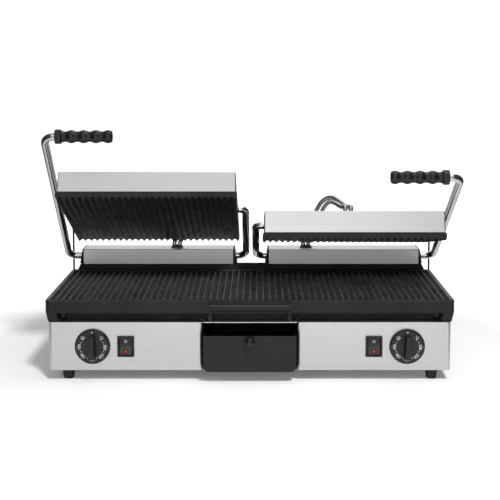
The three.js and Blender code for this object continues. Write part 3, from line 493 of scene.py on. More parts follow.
class Shape:
    """A mesh being modelled with bmesh operators, in design millimetres."""

    def __init__(self) -> None:
        """Starts an empty mesh."""
        self.bm = bmesh.new()

    @classmethod
    def of_node(cls, node: str) -> "Shape":
        """Starts from a merged copy of a CAD node.

        Args:
            node: The node's name.

        Returns:
            The shape, with flat faces joined up again.
        """
        shape = cls()
        shape.bm.from_mesh(frame["nodes"][node].data)
        shape.bm.transform(DATUM.inverted())
        bmesh.ops.remove_doubles(shape.bm, verts=shape.bm.verts, dist=0.004)
        bmesh.ops.dissolve_limit(
            shape.bm, angle_limit=math.radians(0.6), verts=shape.bm.verts, edges=shape.bm.edges)
        return shape

    def move(self, matrix: Matrix) -> "Shape":
        """Moves everything made so far.

        Args:
            matrix: The move.

        Returns:
            This shape.
        """
        self.bm.transform(matrix)
        if matrix.determinant() < 0:
            bmesh.ops.reverse_faces(self.bm, faces=self.bm.faces)
        return self

    def block(self, low: Point, high: Point) -> list[bmesh.types.BMVert]:
        """Adds a box.

        Args:
            low: Its lowest corner.
            high: Its highest corner.

        Returns:
            Its corners.
        """
        middle = (Vector(low) + Vector(high)) / 2
        size = Vector(high) - Vector(low)
        matrix = Matrix.Translation(middle) @ Matrix.Diagonal((*size, 1.0))
        return bmesh.ops.create_cube(self.bm, size=1.0, matrix=matrix)["verts"]

    def turned(self, profile: Sequence[Flat], matrix: Matrix, steps: int = 40) -> None:
        """Adds a piece turned round +Z.

        Args:
            profile: (radius, height) points, from one end of the piece to the other.
            matrix: Where the turned piece goes.
            steps: Sides of the full turn.
        """
        line = [self.bm.verts.new((radius, 0.0, height)) for radius, height in profile]
        edges = [self.bm.edges.new(pair) for pair in zip(line, line[1:])]
        before = set(self.bm.verts) - set(line)
        bmesh.ops.spin(self.bm, geom=line + edges, cent=(0, 0, 0), axis=(0, 0, 1), angle=math.tau, steps=steps,
                       use_merge=True)
        made = [v for v in self.bm.verts if v not in before]
        bmesh.ops.remove_doubles(self.bm, verts=made, dist=0.001)
        made = [v for v in self.bm.verts if v not in before]
        bmesh.ops.holes_fill(self.bm, edges=list({e for v in made for e in v.link_edges}), sides=0)
        made = [v for v in self.bm.verts if v not in before]
        faces = list({f for v in made for f in v.link_faces})
        bmesh.ops.recalc_face_normals(self.bm, faces=faces)
        bmesh.ops.transform(self.bm, matrix=matrix, verts=made)

    def bent_rod(self, path: Sequence[Point], bends: Sequence[float], radius: float, sides: int = 24) -> None:
        """Adds a round bar, straight between round bends.

        Args:
            path: The corners of its centre line.
            bends: The bend radius at each inner corner.
            radius: Half its thickness.
            sides: Sides of its section.
        """
        corners = [Vector(corner) for corner in path]
        before = set(self.bm.verts)
        heading = (corners[1] - corners[0]).normalized()
        start = Matrix.Translation(corners[0]) @ heading.to_track_quat("Z", "Y").to_matrix().to_4x4()
        made = bmesh.ops.create_circle(self.bm, cap_ends=True, segments=sides, radius=radius, matrix=start)
        ring = made["verts"]
        end = next(iter(ring[0].link_faces))
        at = corners[0]
        for i, corner in enumerate(corners[1:], start=1):
            last = i == len(corners) - 1
            onward = heading if last else (corners[i + 1] - corner).normalized()
            angle = heading.angle(onward)
            bend = 0.0 if last else bends[i - 1]
            setback = bend * math.tan(angle / 2)
            run = corner - heading * setback - at
            made = bmesh.ops.extrude_face_region(self.bm, geom=[end])["geom"]
            previous, end = end, next(item for item in made if isinstance(item, bmesh.types.BMFace))
            if previous.is_valid and i > 1:
                bmesh.ops.delete(self.bm, geom=[previous], context="FACES_ONLY")
            bmesh.ops.translate(self.bm, verts=end.verts, vec=run)
            if last:
                break
            axis = heading.cross(onward).normalized()
            centre = corner - heading * setback + axis.cross(heading) * bend
            made = bmesh.ops.spin(self.bm, geom=[*end.verts, *end.edges, end], cent=centre, axis=axis, angle=angle,
                                  steps=max(3, round(math.degrees(angle) / 9)))["geom_last"]
            previous, end = end, next(item for item in made if isinstance(item, bmesh.types.BMFace))
            if previous.is_valid:
                bmesh.ops.delete(self.bm, geom=[previous], context="FACES_ONLY")
            at = corner + onward * setback
            heading = onward
        made = [v for v in self.bm.verts if v not in before]
        bmesh.ops.recalc_face_normals(self.bm, faces=list({f for v in made for f in v.link_faces}))

    def hose(self, line: Sequence[Vector], radius: float, swell: float, sides: int = 14) -> None:
        """Adds a corrugated tube along a line, open at both ends.

        Args:
            line: Points of the centre line, one for each ring.
            radius: Half its thickness.
            swell: How far the even rings stand in.
            sides: Sides of its section.
        """
        heading = (line[1] - line[0]).normalized()
        turn = heading.to_track_quat("Z", "X").to_matrix().to_4x4()
        place = Matrix.Translation(line[0]) @ turn
        verts = bmesh.ops.create_circle(self.bm, segments=sides, radius=radius, matrix=place)["verts"]
        edges = list({e for v in verts for e in v.link_edges})
        size = 1.0
        for i in range(1, len(line)):
            ahead = line[min(i + 1, len(line) - 1)] - line[i - 1]
            bend = heading.rotation_difference(ahead.normalized()).to_matrix().to_4x4()
            wanted = 1.0 - (swell / radius if i % 2 else 0.0)
            grow = Matrix.Scale(wanted / size, 4)
            step = Matrix.Translation(line[i]) @ bend @ grow @ Matrix.Translation(-line[i - 1])
            made = bmesh.ops.extrude_edge_only(self.bm, edges=edges)["geom"]
            verts = [item for item in made if isinstance(item, bmesh.types.BMVert)]
            edges = [item for item in made if isinstance(item, bmesh.types.BMEdge)]
            bmesh.ops.transform(self.bm, matrix=step, verts=verts)
            heading, size = ahead.normalized(), wanted
        bmesh.ops.recalc_face_normals(self.bm, faces=self.bm.faces)

    def round_edges(self, width: float, segments: int = 3,
                    where: Callable[[bmesh.types.BMEdge], bool] | None = None) -> "Shape":
        """Rounds edges.

        Args:
            width: How far each edge is cut back.
            segments: Facets of the rounding.
            where: Which edges; those sharper than 30 degrees if left out.

        Returns:
            This shape.
        """
        chosen = where or (lambda e: e.is_manifold and e.calc_face_angle(0.0) > math.radians(30))
        edges = [e for e in self.bm.edges if chosen(e)]
        bmesh.ops.bevel(self.bm, geom=edges, offset=width, offset_type="OFFSET", segments=segments, profile=0.5,
                        affect="EDGES", material=-1, clamp_overlap=True)
        return self

    def piece(self, name: str, finish: Finish, body: str, slot: str, replaces: Sequence[str] = (),
              crease: float = 38.0) -> bpy.types.Object:
        """Finishes the shape as a piece that rides on a body.

        Args:
            name: The piece's name.
            finish: Its finish.
            body: The CAD body that it moves with.
            slot: The record's material slot; not used.
            replaces: CAD nodes that it stands for.
            crease: Edges sharper than this many degrees stay crisp.

        Returns:
            The finished object.
        """
        obj = self.made(name, finish, crease)
        if replaces:
            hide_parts(*replaces)
        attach(obj, body)
        log.info("%s rides on %s", name, body)
        return obj

    def made(self, name: str, finish: Finish, crease: float = 38.0) -> bpy.types.Object:
        """Writes the shape into an object in the frame.

        Args:
            name: The object's name.
            finish: Its finish.
            crease: Edges sharper than this many degrees stay crisp.

        Returns:
            The object, riding on nothing yet.
        """
        self.move(DATUM)
        for face in self.bm.faces:
            face.smooth = True
        for edge in self.bm.edges:
            edge.smooth = edge.calc_face_angle(math.pi) < math.radians(crease)
        mesh = bpy.data.meshes.new(name)
        self.bm.to_mesh(mesh)
        self.bm.free()
        mesh.materials.append(finish.material())
        obj = bpy.data.objects.new(name, mesh)
        bpy.context.scene.collection.objects.link(obj)
        even = obj.modifiers.new("even_shading", "WEIGHTED_NORMAL")
        even.keep_sharp = True
        return obj


def curve_points(knots: Sequence[Point], count: int) -> list[Vector]:
    """Evenly numbered points on a smooth line through knots.

    Args:
        knots: The points that it goes through.
        count: How many points come back.

    Returns:
        The points.
    """
    at = [Vector(knot) for knot in knots]
    at = [at[0] * 2 - at[1], *at, at[-1] * 2 - at[-2]]
    fine: list[Vector] = []
    for a, b, c, d in zip(at, at[1:], at[2:], at[3:]):
        for k in range(40):
            t = k / 40
            fine.append(0.5 * (2 * b + (c - a) * t + (2 * a - 5 * b + 4 * c - d) * t * t
                               + (3 * b - a - 3 * c + d) * t ** 3))
    fine.append(at[-2].copy())
    lengths = [0.0]
    for first, second in zip(fine, fine[1:]):
        lengths.append(lengths[-1] + (second - first).length)
    points: list[Vector] = []
    i = 0
    for k in range(count):
        want = lengths[-1] * k / (count - 1)
        while i < len(lengths) - 2 and lengths[i + 1] < want:
            i += 1
        share = (want - lengths[i]) / max(lengths[i + 1] - lengths[i], 1e-9)
        points.append(fine[i].lerp(fine[i + 1], min(share, 1.0)))
    return points


# ---------------------------------------------------------------- carried-over CAD pieces


@dataclass
class CadFinishes:
    """Gives every CAD node that stays in view the finish of its slot."""

    def build(self) -> None:
        """Sets the nodes' materials."""
        for part in frame["record"]["subparts"]:
            mesh = frame["nodes"][part["node"]].data
            mesh.materials.clear()
            mesh.materials.append(FINISH_OF_SLOT[part["material_slot"]].material())


@dataclass
class Refined:
    """CAD pieces kept in shape, with their edges eased and their round walls shaded smooth."""

    ease: float = 0.35

    def build(self) -> None:
        """Makes the eased pieces."""
        sheets = {"base_pan": ZINC, "deck": STEEL, "rear_panel": STEEL}
        for node, finish in sheets.items():
            Shape.of_node(node).round_edges(self.ease / 2, 1).piece(
                node + "_eased", finish, "base", self.slot_of(node), [node])
        self.copy("rear_wall", CASTING, "base", 1.2, 3)
        for side in Side:
            self.copy(f"housing_{side.label}", STEEL, "base", self.ease, 2)
            self.copy(f"hinge_cover_{side.label}", LIGHTENED_HINGE_STEEL, "base", self.ease, 2)
            for end in ("outer", "inner"):
                self.copy(f"hinge_bracket_{end}_{side.label}", HINGE_CASTING, "base", 0.8, 3)
            self.copy(f"switch_housing_{side.label}", GLOSS_PLASTIC, "base", 0.5, 3)

    def copy(self, node: str, finish: Finish, body: str, ease: float, segments: int) -> None:
        """Makes one eased copy of a CAD node.

        Args:
            node: The node's name.
            finish: The piece's finish.
            body: The body that it moves with.
            ease: How far its edges are cut back.
            segments: Facets of each eased edge.
        """
        shape = Shape.of_node(node).round_edges(ease, segments)
        shape.piece(node + "_eased", finish, body, self.slot_of(node), [node])

    @staticmethod
    def slot_of(node: str) -> str:
        """The record's material slot of a node."""
        return next(part["material_slot"] for part in frame["record"]["subparts"] if part["node"] == node)


# ---------------------------------------------------------------- body


@dataclass
class Feet:
    """Four tapered rubber feet with a rounded tread."""

    height: float = 16.7
    top: float = 10.0
    bottom: float = 7.5

    def build(self) -> None:
        """Makes the feet where the CAD feet are."""
        for side in Side:
            for end in ("front", "rear"):
                node = f"foot_{end}_{side.label}"
                low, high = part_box(node)
                middle = DATUM.inverted() @ ((low + high) / 2)
                profile = [(0.0, self.height), (self.top - 0.6, self.height), (self.top, self.height - 0.6),
                           (self.bottom + 0.35, 2.2), (self.bottom - 0.2, 0.9), (self.bottom - 1.1, 0.2),
                           (self.bottom - 2.0, 0.0), (3.0, 0.0), (2.4, 0.8), (0.0, 0.8)]
                shape = Shape()
                shape.turned(profile, Matrix.Translation((middle.x, middle.y, 0.0)))
                shape.piece(node + "_rubber", FOOT_RUBBER, "base", "rubber", [node])


@dataclass
class Drawer:
    """Grease drawer: coated pan with a rounded front, and a glossy ball knob."""

    ease: float = 0.7
    ball: float = 7.5
    stem: float = 3.0

    def build(self) -> None:
        """Makes the pan and its knob."""
        Shape.of_node("grease_drawer").round_edges(self.ease, 3).piece(
            "drawer_pan", DRAWER_COAT, "drawer", "black_metal", ["grease_drawer"], 30.0)
        low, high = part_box("drawer_knob")
        middle = DATUM.inverted() @ ((low + high) / 2)
        face = (DATUM.inverted() @ high).y
        centre = self.stem + self.ball * 0.9
        profile = [(0.0, 0.0), (self.stem + 1.2, 0.0), (self.stem + 1.0, 0.7), (self.stem, 1.2),
                   (self.stem, self.stem - 0.6)]
        steps = 14
        first = -math.acos((self.stem + 0.6) / self.ball)
        for k in range(steps + 1):
            angle = first + (math.pi / 2 - first) * k / steps
            profile.append((self.ball * math.cos(angle), centre + self.ball * math.sin(angle)))
        profile[-1] = (0.0, profile[-1][1])
        shape = Shape()
        place = Matrix.Translation((middle.x, face, middle.z))
        shape.turned(profile, place @ Matrix.Rotation(math.pi / 2, 4, "X"))
        shape.piece("drawer_ball_knob", GLOSS_PLASTIC, "drawer", "gloss_black_plastic", ["drawer_knob"])


@dataclass
class Dial:
    """Thermostat knob: skirt with printed degrees, and a raised wing to turn it by."""

    side: Side
    radius: float = 26.5
    skirt: float = 6.0
    wing: float = 13.0
    length: float = 36.0
    wide: float = 12.5
    narrow: float = 9.0
    stand_off: float = 1.0

    @property
    def body(self) -> str:
        """The CAD body that the dial turns with."""
        return f"dial_{self.side.label}_turning"

    @property
    def seat(self) -> Matrix:
        """Where the dial sits: +Z of the dial's own axes comes out of the panel."""
        low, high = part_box(f"dial_{self.side.label}")
        middle = DATUM.inverted() @ ((low + high) / 2)
        face = (DATUM.inverted() @ high).y + self.stand_off
        return Matrix.Translation((middle.x, face, middle.z)) @ Matrix.Rotation(math.pi / 2, 4, "X")

    def build(self) -> None:
        """Makes the knob, its scale and its pointer mark."""
        name = f"dial_{self.side.label}"
        shape = Shape()
        profile = [(0.0, self.stand_off), (self.radius - 0.6, self.stand_off), (self.radius, self.stand_off + 0.6),
                   (self.radius, self.stand_off + 1.6), (self.radius - 0.5, self.stand_off + 2.2),
                   (self.radius - 0.7, self.skirt - 1.2), (self.radius - 1.6, self.skirt - 0.3),
                   (self.radius - 2.6, self.skirt), (self.wide + 2.0, self.skirt - 0.4), (0.0, self.skirt - 0.4)]
        shape.turned(profile, Matrix.Identity(4), 72)
        corners = shape.block((-self.wide / 2, -self.length / 2, self.skirt - 1.5),
                              (self.wide / 2, self.length / 2, self.skirt + self.wing))
        middle = self.skirt + self.wing / 2
        for vert in corners:
            if vert.co.y > 0:
                vert.co.x *= self.narrow / self.wide
            if vert.co.z > middle:
                vert.co.x *= 0.72
                vert.co.y *= 0.94
        wing = {e for v in corners for e in v.link_edges}
        shape.round_edges(1.8, 5, lambda e: e in wing and max(v.co.z for v in e.verts) > middle)
        shape.move(self.seat)
        shape.piece(name + "_knob", DIAL_PLASTIC, self.body, "black_plastic", [name])
        self.scale()

    def scale(self) -> None:
        """Prints the degrees, the ticks between them and the pointer mark."""
        marks = Shape()
        level = self.skirt + 0.04
        for k in range(7):
            self.tick(marks, 45.0 + 45.0 * k, self.radius - 3.4, 1.6, 0.45, level)
            if k < 6:
                self.tick(marks, 67.5 + 45.0 * k, 18.2, 2.6, 0.6, level)
        self.tick(marks, 0.0, 22.2, 2.6, 1.3, level)
        for k, label in enumerate(("50", "100", "150", "200", "250", "300", "\N{DEGREE SIGN}C")):
            self.figure(marks, label, 45.0 + 45.0 * k, level)
        marks.move(self.seat)
        marks.piece(f"dial_{self.side.label}_scale", WHITE_INK, self.body, "black_plastic")

    def tick(self, shape: Shape, angle: float, radius: float, length: float, width: float,
             level: float) -> None:
        """Adds one radial tick.

        Args:
            shape: The printing.
            angle: Degrees from the top, anticlockwise seen from the front.
            radius: Where the tick's middle is.
            length: Its length along the radius.
            width: Its width.
            level: Height of the printing.
        """
        near, far = radius - length / 2, radius + length / 2
        corners = shape.block((-width / 2, near, level - 0.3), (width / 2, far, level))
        turn = Matrix.Rotation(math.radians(angle), 3, "Z")
        bmesh.ops.rotate(shape.bm, verts=corners, cent=(0, 0, 0), matrix=turn)

    def figure(self, shape: Shape, label: str, angle: float, level: float) -> None:
        """Adds one printed number, its top towards the rim.

        Args:
            shape: The printing.
            label: What it says.
            angle: Degrees from the top, anticlockwise seen from the front.
            level: Height of the printing.
        """
        text = bpy.data.curves.new("figure", "FONT")
        text.body = label
        text.size = 6.0
        text.align_x = text.align_y = "CENTER"
        text.extrude = 0.12
        holder = bpy.data.objects.new("figure", text)
        bpy.context.scene.collection.objects.link(holder)
        bpy.context.view_layer.update()
        mesh = bpy.data.meshes.new_from_object(holder.evaluated_get(bpy.context.evaluated_depsgraph_get()))
        bpy.data.objects.remove(holder)
        out = Matrix.Translation((0, self.radius - 7.6, level - 0.1))
        turn = Matrix.Rotation(math.radians(angle), 4, "Z") @ out
        mesh.transform(turn)
        shape.bm.from_mesh(mesh)


@dataclass
class Switch:
    """Rocker with a printed off mark and a small pilot lamp."""

    side: Side
    mark: float = 2.1
    lamp: float = 1.8

    def build(self) -> None:
        """Makes the rocker, its mark and its lamp."""
        name = self.side.label
        body = f"rocker_{name}_moving"
        Shape.of_node(f"rocker_{name}").round_edges(0.5, 3).piece(
            f"rocker_{name}_cap", GLOSS_PLASTIC, body, "gloss_black_plastic", [f"rocker_{name}"])
        low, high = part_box(f"pilot_lens_{name}")
        lens = DATUM.inverted() @ ((low + high) / 2)
        tilt = Matrix.Rotation(math.radians(-7.0 + 14.0), 4, "X")
        shape = Shape()
        profile = [(0.0, 0.0), (self.lamp, 0.0), (self.lamp, 1.6), (self.lamp - 0.3, 2.1), (self.lamp * 0.5, 2.5),
                   (0.0, 2.6)]
        out = Matrix.Rotation(math.pi / 2, 4, "X")
        shape.turned(profile, Matrix.Translation((lens.x, lens.y + 1.0, lens.z)) @ tilt @ out, 24)
        shape.piece(f"pilot_lamp_{name}", LAMP_LENS, body, "lens_orange", [f"pilot_lens_{name}"])
        self.off_mark(name, body)

    def off_mark(self, name: str, body: str) -> None:
        """Prints the ring on the rocker's upper half.

        Args:
            name: The side's label.
            body: The body that it moves with.
        """
        low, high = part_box(f"rocker_{name}")
        cap = DATUM.inverted() @ ((low + high) / 2)
        axis_y = 3.5
        ring = Shape()
        profile = [(self.mark - 0.55, 0.0), (self.mark - 0.55, 0.3), (self.mark, 0.3), (self.mark, 0.0),
                   (self.mark - 0.55, 0.0)]
        slope = math.atan2(2.0, 12.0)
        place = Matrix.Translation((0.0, -2.5 - 7.2 * math.tan(slope) + 0.2, 7.2))
        own = place @ Matrix.Rotation(slope, 4, "X")
        seat = Matrix.Translation((cap.x, axis_y, 53.65)) @ Matrix.Rotation(math.radians(-7.0), 4, "X")
        ring.turned(profile, seat @ own @ Matrix.Rotation(math.pi / 2, 4, "X"), 24)
        ring.piece(f"rocker_{name}_mark", WHITE_INK, body, "gloss_black_plastic")


# ---------------------------------------------------------------- lower plate and hinge boxes


@dataclass
class LowerPlate:
    """Ribbed lower casting with eased rib crests, and its two black screws."""

    ease: float = 0.45

    def build(self) -> None:
        """Makes the casting and the screws."""
        Shape.of_node("lower_plate").round_edges(self.ease, 2).piece(
            "lower_casting", CASTING, "base", "cast_iron", ["lower_plate"])
        for side in Side:
            self.screw(side)

    def screw(self, side: Side) -> None:
        """Makes one cheese-head screw with a round recess in its head.

        Args:
            side: Which end of the plate.
        """
        node = f"plate_screw_{side.label}"
        low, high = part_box(node)
        middle = DATUM.inverted() @ ((low + high) / 2)
        front = (DATUM.inverted() @ low).y
        shape = Shape()
        profile = [(0.0, 10.0), (2.5, 10.0), (2.5, 4.0), (4.5, 4.0), (4.5, 0.9), (4.2, 0.3), (3.6, 0.0), (2.4, 0.0),
                   (2.4, 1.8), (0.0, 1.8)]
        shape.turned(profile, Matrix.Translation((middle.x, front, middle.z)) @ Axis.Y.turn, 28)
        shape.piece(node + "_head", SCREW_BLACK, "base", "black_metal", [node])


@dataclass
class HingeBox:
    """What stands on one hinge box: the ribbed conduit gland."""

    side: Side
    ribs: int = 6

    def build(self) -> None:
        """Makes the gland."""
        node = f"conduit_gland_{self.side.label}"
        low, high = (DATUM.inverted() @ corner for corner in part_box(node))
        shape = Shape()
        shape.block((low.x, low.y, low.z), (high.x, high.y, low.z + 2.0))
        step = (high.x - low.x - 3.0) / self.ribs
        for k in range(self.ribs):
            x = low.x + 1.5 + step * (k + 0.5)
            shape.block((x - step * 0.3, low.y + 1.2, low.z + 1.5), (x + step * 0.3, high.y - 1.2, high.z))
        shape.block((low.x + 2.0, low.y + 2.2, low.z + 1.5), (high.x - 2.0, high.y - 2.2, high.z - 0.9))
        shape.round_edges(0.45, 2).piece(node + "_ribbed", DIAL_PLASTIC, "base", "black_plastic", [node])


@dataclass
class RearUpright:
    """Thin bent rod behind the outer arm, which keeps cables off the hot plates."""

    side: Side
    radius: float = 1.75
    x: float = 311.5
    reach: float = 40.0
    low: float = 60.0
    top: float = 207.0
    y: float = 301.55

    def build(self) -> None:
        """Makes the rod."""
        sign = self.side.value
        shape = Shape()
        path = [(sign * (self.x - self.reach), self.y, self.low), (sign * self.x, self.y, self.low),
                (sign * self.x, self.y, self.top)]
        shape.bent_rod(path, [8.0], self.radius, 16)
        node = f"rear_upright_{self.side.label}"
        # The rod's near-black plating is painted shade.
        shape.piece(node + "_rod", DULL_SHADED_ROD, "base", "brushed_steel", [node])


# ---------------------------------------------------------------- arms and upper plates


@dataclass
class Stance:
    """How one half stands at rest: its hinge, its pivot, and the angles of its arm and plate."""

    side: Side
    hinge_y: float = 264.0
    hinge_z: float = 145.4
    pivot: float = 127.0

    @property
    def arm_angle(self) -> float:
        """Radians that the arm is raised from level."""
        joints = {joint["name"]: Vector(joint["pos_m"]) for joint in frame["joints"] if "pos_m" in joint}
        away = joints[f"{self.side.label}_plate_tilt"] - joints[f"{self.side.label}_arm_lift"]
        return math.atan2(away.z, -away.y)

    @property
    def plate_angle(self) -> float:
        """Radians that the plate's front is raised from level."""
        return math.radians({Side.LEFT: 25.2, Side.RIGHT: 10.2}[self.side])

    @property
    def mirror(self) -> Matrix:
        """Takes the right half's own axes to this half's."""
        return Matrix.Diagonal((self.side.value, 1.0, 1.0, 1.0))

    @property
    def arm(self) -> Matrix:
        """Takes a level right arm, drawn about the hinge axis, to its place."""
        turn = Matrix.Rotation(-self.arm_angle, 4, "X")
        return Matrix.Translation((0.0, self.hinge_y, self.hinge_z)) @ turn @ self.mirror

    @property
    def plate(self) -> Matrix:
        """Takes a level right upper plate, drawn about its pivot, to its place."""
        y = self.hinge_y - self.pivot * math.cos(self.arm_angle)
        z = self.hinge_z + self.pivot * math.sin(self.arm_angle)
        return Matrix.Translation((0.0, y, z)) @ Matrix.Rotation(-self.plate_angle, 4, "X") @ self.mirror


@dataclass
class Arm:
    """One bent rod arm with its finger grip, collar and pivot pin."""

    stance: Stance
    radius: float = 6.0
    inner: float = 8.3
    outer: float = 313.0
    pivot: float = 127.0
    grip: float = 303.0
    grip_start: float = 295.5
    collar: float = 9.5
    grip_length: float = 77.0

    def build(self) -> None:
        """Makes the rod, the grip with its collar, and the pin."""
        label = self.stance.side.label
        body = f"arm_{label}_frame"
        rod = Shape()
        path = [(50.0, -self.pivot, 0.0), (self.inner, -self.pivot, 0.0), (self.inner, 0.0, 0.0),
                (self.outer, 0.0, 0.0), (self.outer, -self.grip, 0.0), (218.3, -self.grip, 0.0)]
        rod.bent_rod(path, [9.5, 14.0, 14.0, 16.0], self.radius, 32)
        rod.move(self.stance.arm).piece(f"arm_{label}_rod", CHROME, body, "chrome_rod", [f"arm_{label}"])
        self.handle(label, body)
        self.pin(label, body)

    def handle(self, label: str, body: str) -> None:
        """Makes the collar and the wavy finger grip.

        Args:
            label: The side's label.
            body: The body that it moves with.
        """
        place = Matrix.Translation((self.grip_start, -self.grip, 0.0)) @ Matrix.Rotation(-math.pi / 2, 4, "Y")
        collar = Shape()
        ring = [(6.3, 0.0), (10.2, 0.0), (10.9, 0.3), (11.2, 1.0), (11.2, self.collar - 1.0), (10.9, self.collar - 0.3),
                (10.2, self.collar), (6.3, self.collar), (6.3, 0.0)]
        collar.turned(ring, place, 40)
        collar.move(self.stance.arm).piece(
            f"grip_collar_{label}_ring", GRIP_PLASTIC, body, "black_plastic", [f"grip_collar_{label}"])
        first = self.collar + 0.3
        steps = 42
        wave = [(self.swell(length), first + length)
                for length in (0.8 + (self.grip_length - 2.6) * k / steps for k in range(steps + 1))]
        tip = first + self.grip_length
        profile = [(6.3, first), (self.swell(0.0) - 0.7, first), *wave, (wave[-1][0] - 0.6, tip - 0.7),
                   (wave[-1][0] - 1.9, tip), (3.0, tip), (0.0, tip - 0.4)]
        grip = Shape()
        grip.turned(profile, place, 40)
        grip.move(self.stance.arm).piece(
            f"grip_{label}_handle", GRIP_PLASTIC, body, "black_plastic", [f"grip_{label}"])

    @staticmethod
    def swell(length: float) -> float:
        """The grip's radius at a length from its collar end."""
        return 9.1 + 1.15 * math.cos(math.tau * (length - 15.0) / 18.6)

    def pin(self, label: str, body: str) -> None:
        """Makes the pin between the outer arm and the cover.

        Args:
            label: The side's label.
            body: The body that it moves with.
        """
        profile = [(0.0, 282.0), (4.5, 282.0), (4.5, 295.0), (7.0, 295.0), (7.5, 295.5), (7.5, 304.2), (7.0, 304.7),
                   (4.5, 306.7), (0.0, 306.7)]
        shape = Shape()
        shape.turned(profile, Matrix.Translation((0.0, -self.pivot, 0.0)) @ Axis.X.turn, 32)
        node = f"pivot_pin_{label}"
        shape.move(self.stance.arm).piece(node + "_turned", ZINC, body, "zinc_sheet", [node])


@dataclass
class UpperPlate:
    """One upper casting and the folded steel cover on it."""

    stance: Stance
    inner: float = 21.5
    outer: float = 294.0
    front: float = -133.5
    rear: float = 95.5
    low: float = -14.0
    top: float = 18.0
    taper: float = 0.5
    sheet: float = 1.5

    def build(self) -> None:
        """Makes the casting and the cover."""
        label = self.stance.side.label
        body = f"upper_{label}"
        Shape.of_node(f"upper_plate_{label}").round_edges(0.45, 2).piece(
            f"upper_casting_{label}", CASTING, body, "cast_iron", [f"upper_plate_{label}"])
        cover = Shape()
        corners = cover.block((self.inner, self.front, self.low), (self.outer, self.rear, self.top))
        centre = Vector(((self.inner + self.outer) / 2, (self.front + self.rear) / 2, 0.0))
        for vert in corners:
            if vert.co.z > 0:
                vert.co.x -= math.copysign(self.taper, vert.co.x - centre.x)
                vert.co.y -= math.copysign(self.taper, vert.co.y - centre.y)
        cover.round_edges(1.7, 4, lambda e: abs(e.verts[0].co.z - e.verts[1].co.z) > 10)
        cover.round_edges(2.2, 5, lambda e: min(v.co.z for v in e.verts) > self.top - 0.01)
        floor = [f for f in cover.bm.faces if max(v.co.z for v in f.verts) < self.low + 0.01]
        bmesh.ops.delete(cover.bm, geom=floor, context="FACES_ONLY")
        bmesh.ops.recalc_face_normals(cover.bm, faces=cover.bm.faces)
        bmesh.ops.solidify(cover.bm, geom=cover.bm.faces, thickness=self.sheet)
        cover.move(self.stance.plate).piece(
            f"upper_cover_{label}_folded", STEEL, body, "brushed_steel", [f"upper_cover_{label}"])


@dataclass
class Conduits:
    """The metal-sheathed cable pair of one side, from its hinge box over to its upper plate.

    It is made in two lengths, split about a third of the way along, which meet end to end.
    Neither rides on a body.
    """

    stance: Stance
    radius: float = 3.9
    spacing: float = 9.0
    ring: float = 1.5
    turn_from: float = 0.15
    turn_to: float = 0.9

    @property
    def route(self) -> list[Point]:
        """Knots of the middle line, from inside the hinge box to the boot."""
        gland_x, middle = {
            Side.LEFT: (127.0, [
                (120, 272, 186), (123, 287, 216), (135, 288, 248),
                (148, 268, 272), (155, 238, 283), (158, 212, 280),
            ]),
            Side.RIGHT: (94.0, [
                (99, 271, 190), (113, 274, 213), (124, 262, 235),
                (134, 230, 246), (143, 198, 246), (152, 174, 242),
            ]),
        }[self.stance.side]
        sign = self.stance.side.value
        above = [self.stance.plate @ Vector((COVER_MIDDLE, 0.0, height)) for height in (29.8, 22.8, 20.55)]
        start = [(gland_x, 264.0, z) for z in (153.4, 162.4, 167.7)]
        knots = [(sign * px, py, pz) for px, py, pz in (*start, *middle)]
        return [*knots, *(tuple(point) for point in above)]

    def build(self) -> None:
        """Makes both lengths and the boot."""
        label = self.stance.side.label
        route = self.route
        length = sum((Vector(b) - Vector(a)).length for a, b in zip(route, route[1:]))
        line = curve_points(route, 2 * round(length / self.ring / 2) + 1)
        cut = 2 * round(len(line) * 0.32)
        strands = [self.strand(line, offset) for offset in (-self.spacing / 2, self.spacing / 2)]
        for name in ("lower", "upper"):
            shape = Shape()
            for strand in strands:
                shape.hose(strand[:cut + 1] if name == "lower" else strand[cut:], self.radius, 0.28)
            obj = shape.made(f"conduit_{label}_{name}", BRAID, 60.0)
            if name == "lower":
                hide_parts(f"conduit_{label}")
            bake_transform(obj)
        self.boot_on_cover(label)

    def strand(self, line: Sequence[Vector], offset: float) -> list[Vector]:
        """One strand's centre line: beside the middle line at both ends, above or below it at the top.

        Args:
            line: The pair's middle line.
            offset: How far the strand is from it.

        Returns:
            The strand's points.
        """
        points = []
        for i, point in enumerate(line):
            ahead = (line[min(i + 1, len(line) - 1)] - line[max(i - 1, 0)]).normalized()
            turned = (i / (len(line) - 1) - self.turn_from) / (self.turn_to - self.turn_from)
            share = min(max(turned, 0.0), 1.0)
            turn = math.pi * (1.0 - share * share * (3.0 - 2.0 * share))
            out = Vector((self.stance.side.value * math.cos(turn), 0.0, math.sin(turn)))
            out = (out - ahead * out.dot(ahead)).normalized()
            points.append(point + out * offset)
        return points

    def boot_on_cover(self, label: str) -> None:
        """Makes the ribbed boot where the pair enters the cover.

        Args:
            label: The side's label.
        """
        shape = Shape()
        low = 18.3
        left, right = COVER_MIDDLE - 10.0, COVER_MIDDLE + 10.0
        shape.block((left, -5.5, low), (right, 5.5, low + 1.6))
        for k in range(2):
            z = low + 1.5 + 1.5 * k
            wide, thin = 0.4 * k, 0.2 * k
            shape.block((COVER_MIDDLE - 9.0 + wide, -4.8 + thin, z),
                        (COVER_MIDDLE + 9.0 - wide, 4.8 - thin, z + 0.9))
            shape.block((COVER_MIDDLE - 8.6 + wide, -4.4 + thin, z + 0.5),
                        (COVER_MIDDLE + 8.6 - wide, 4.4 - thin, z + 1.6))
        shape.round_edges(0.35, 2).move(self.stance.plate)
        shape.piece(f"conduit_boot_{label}", DIAL_PLASTIC, f"upper_{label}", "black_plastic")


# ---------------------------------------------------------------- studio


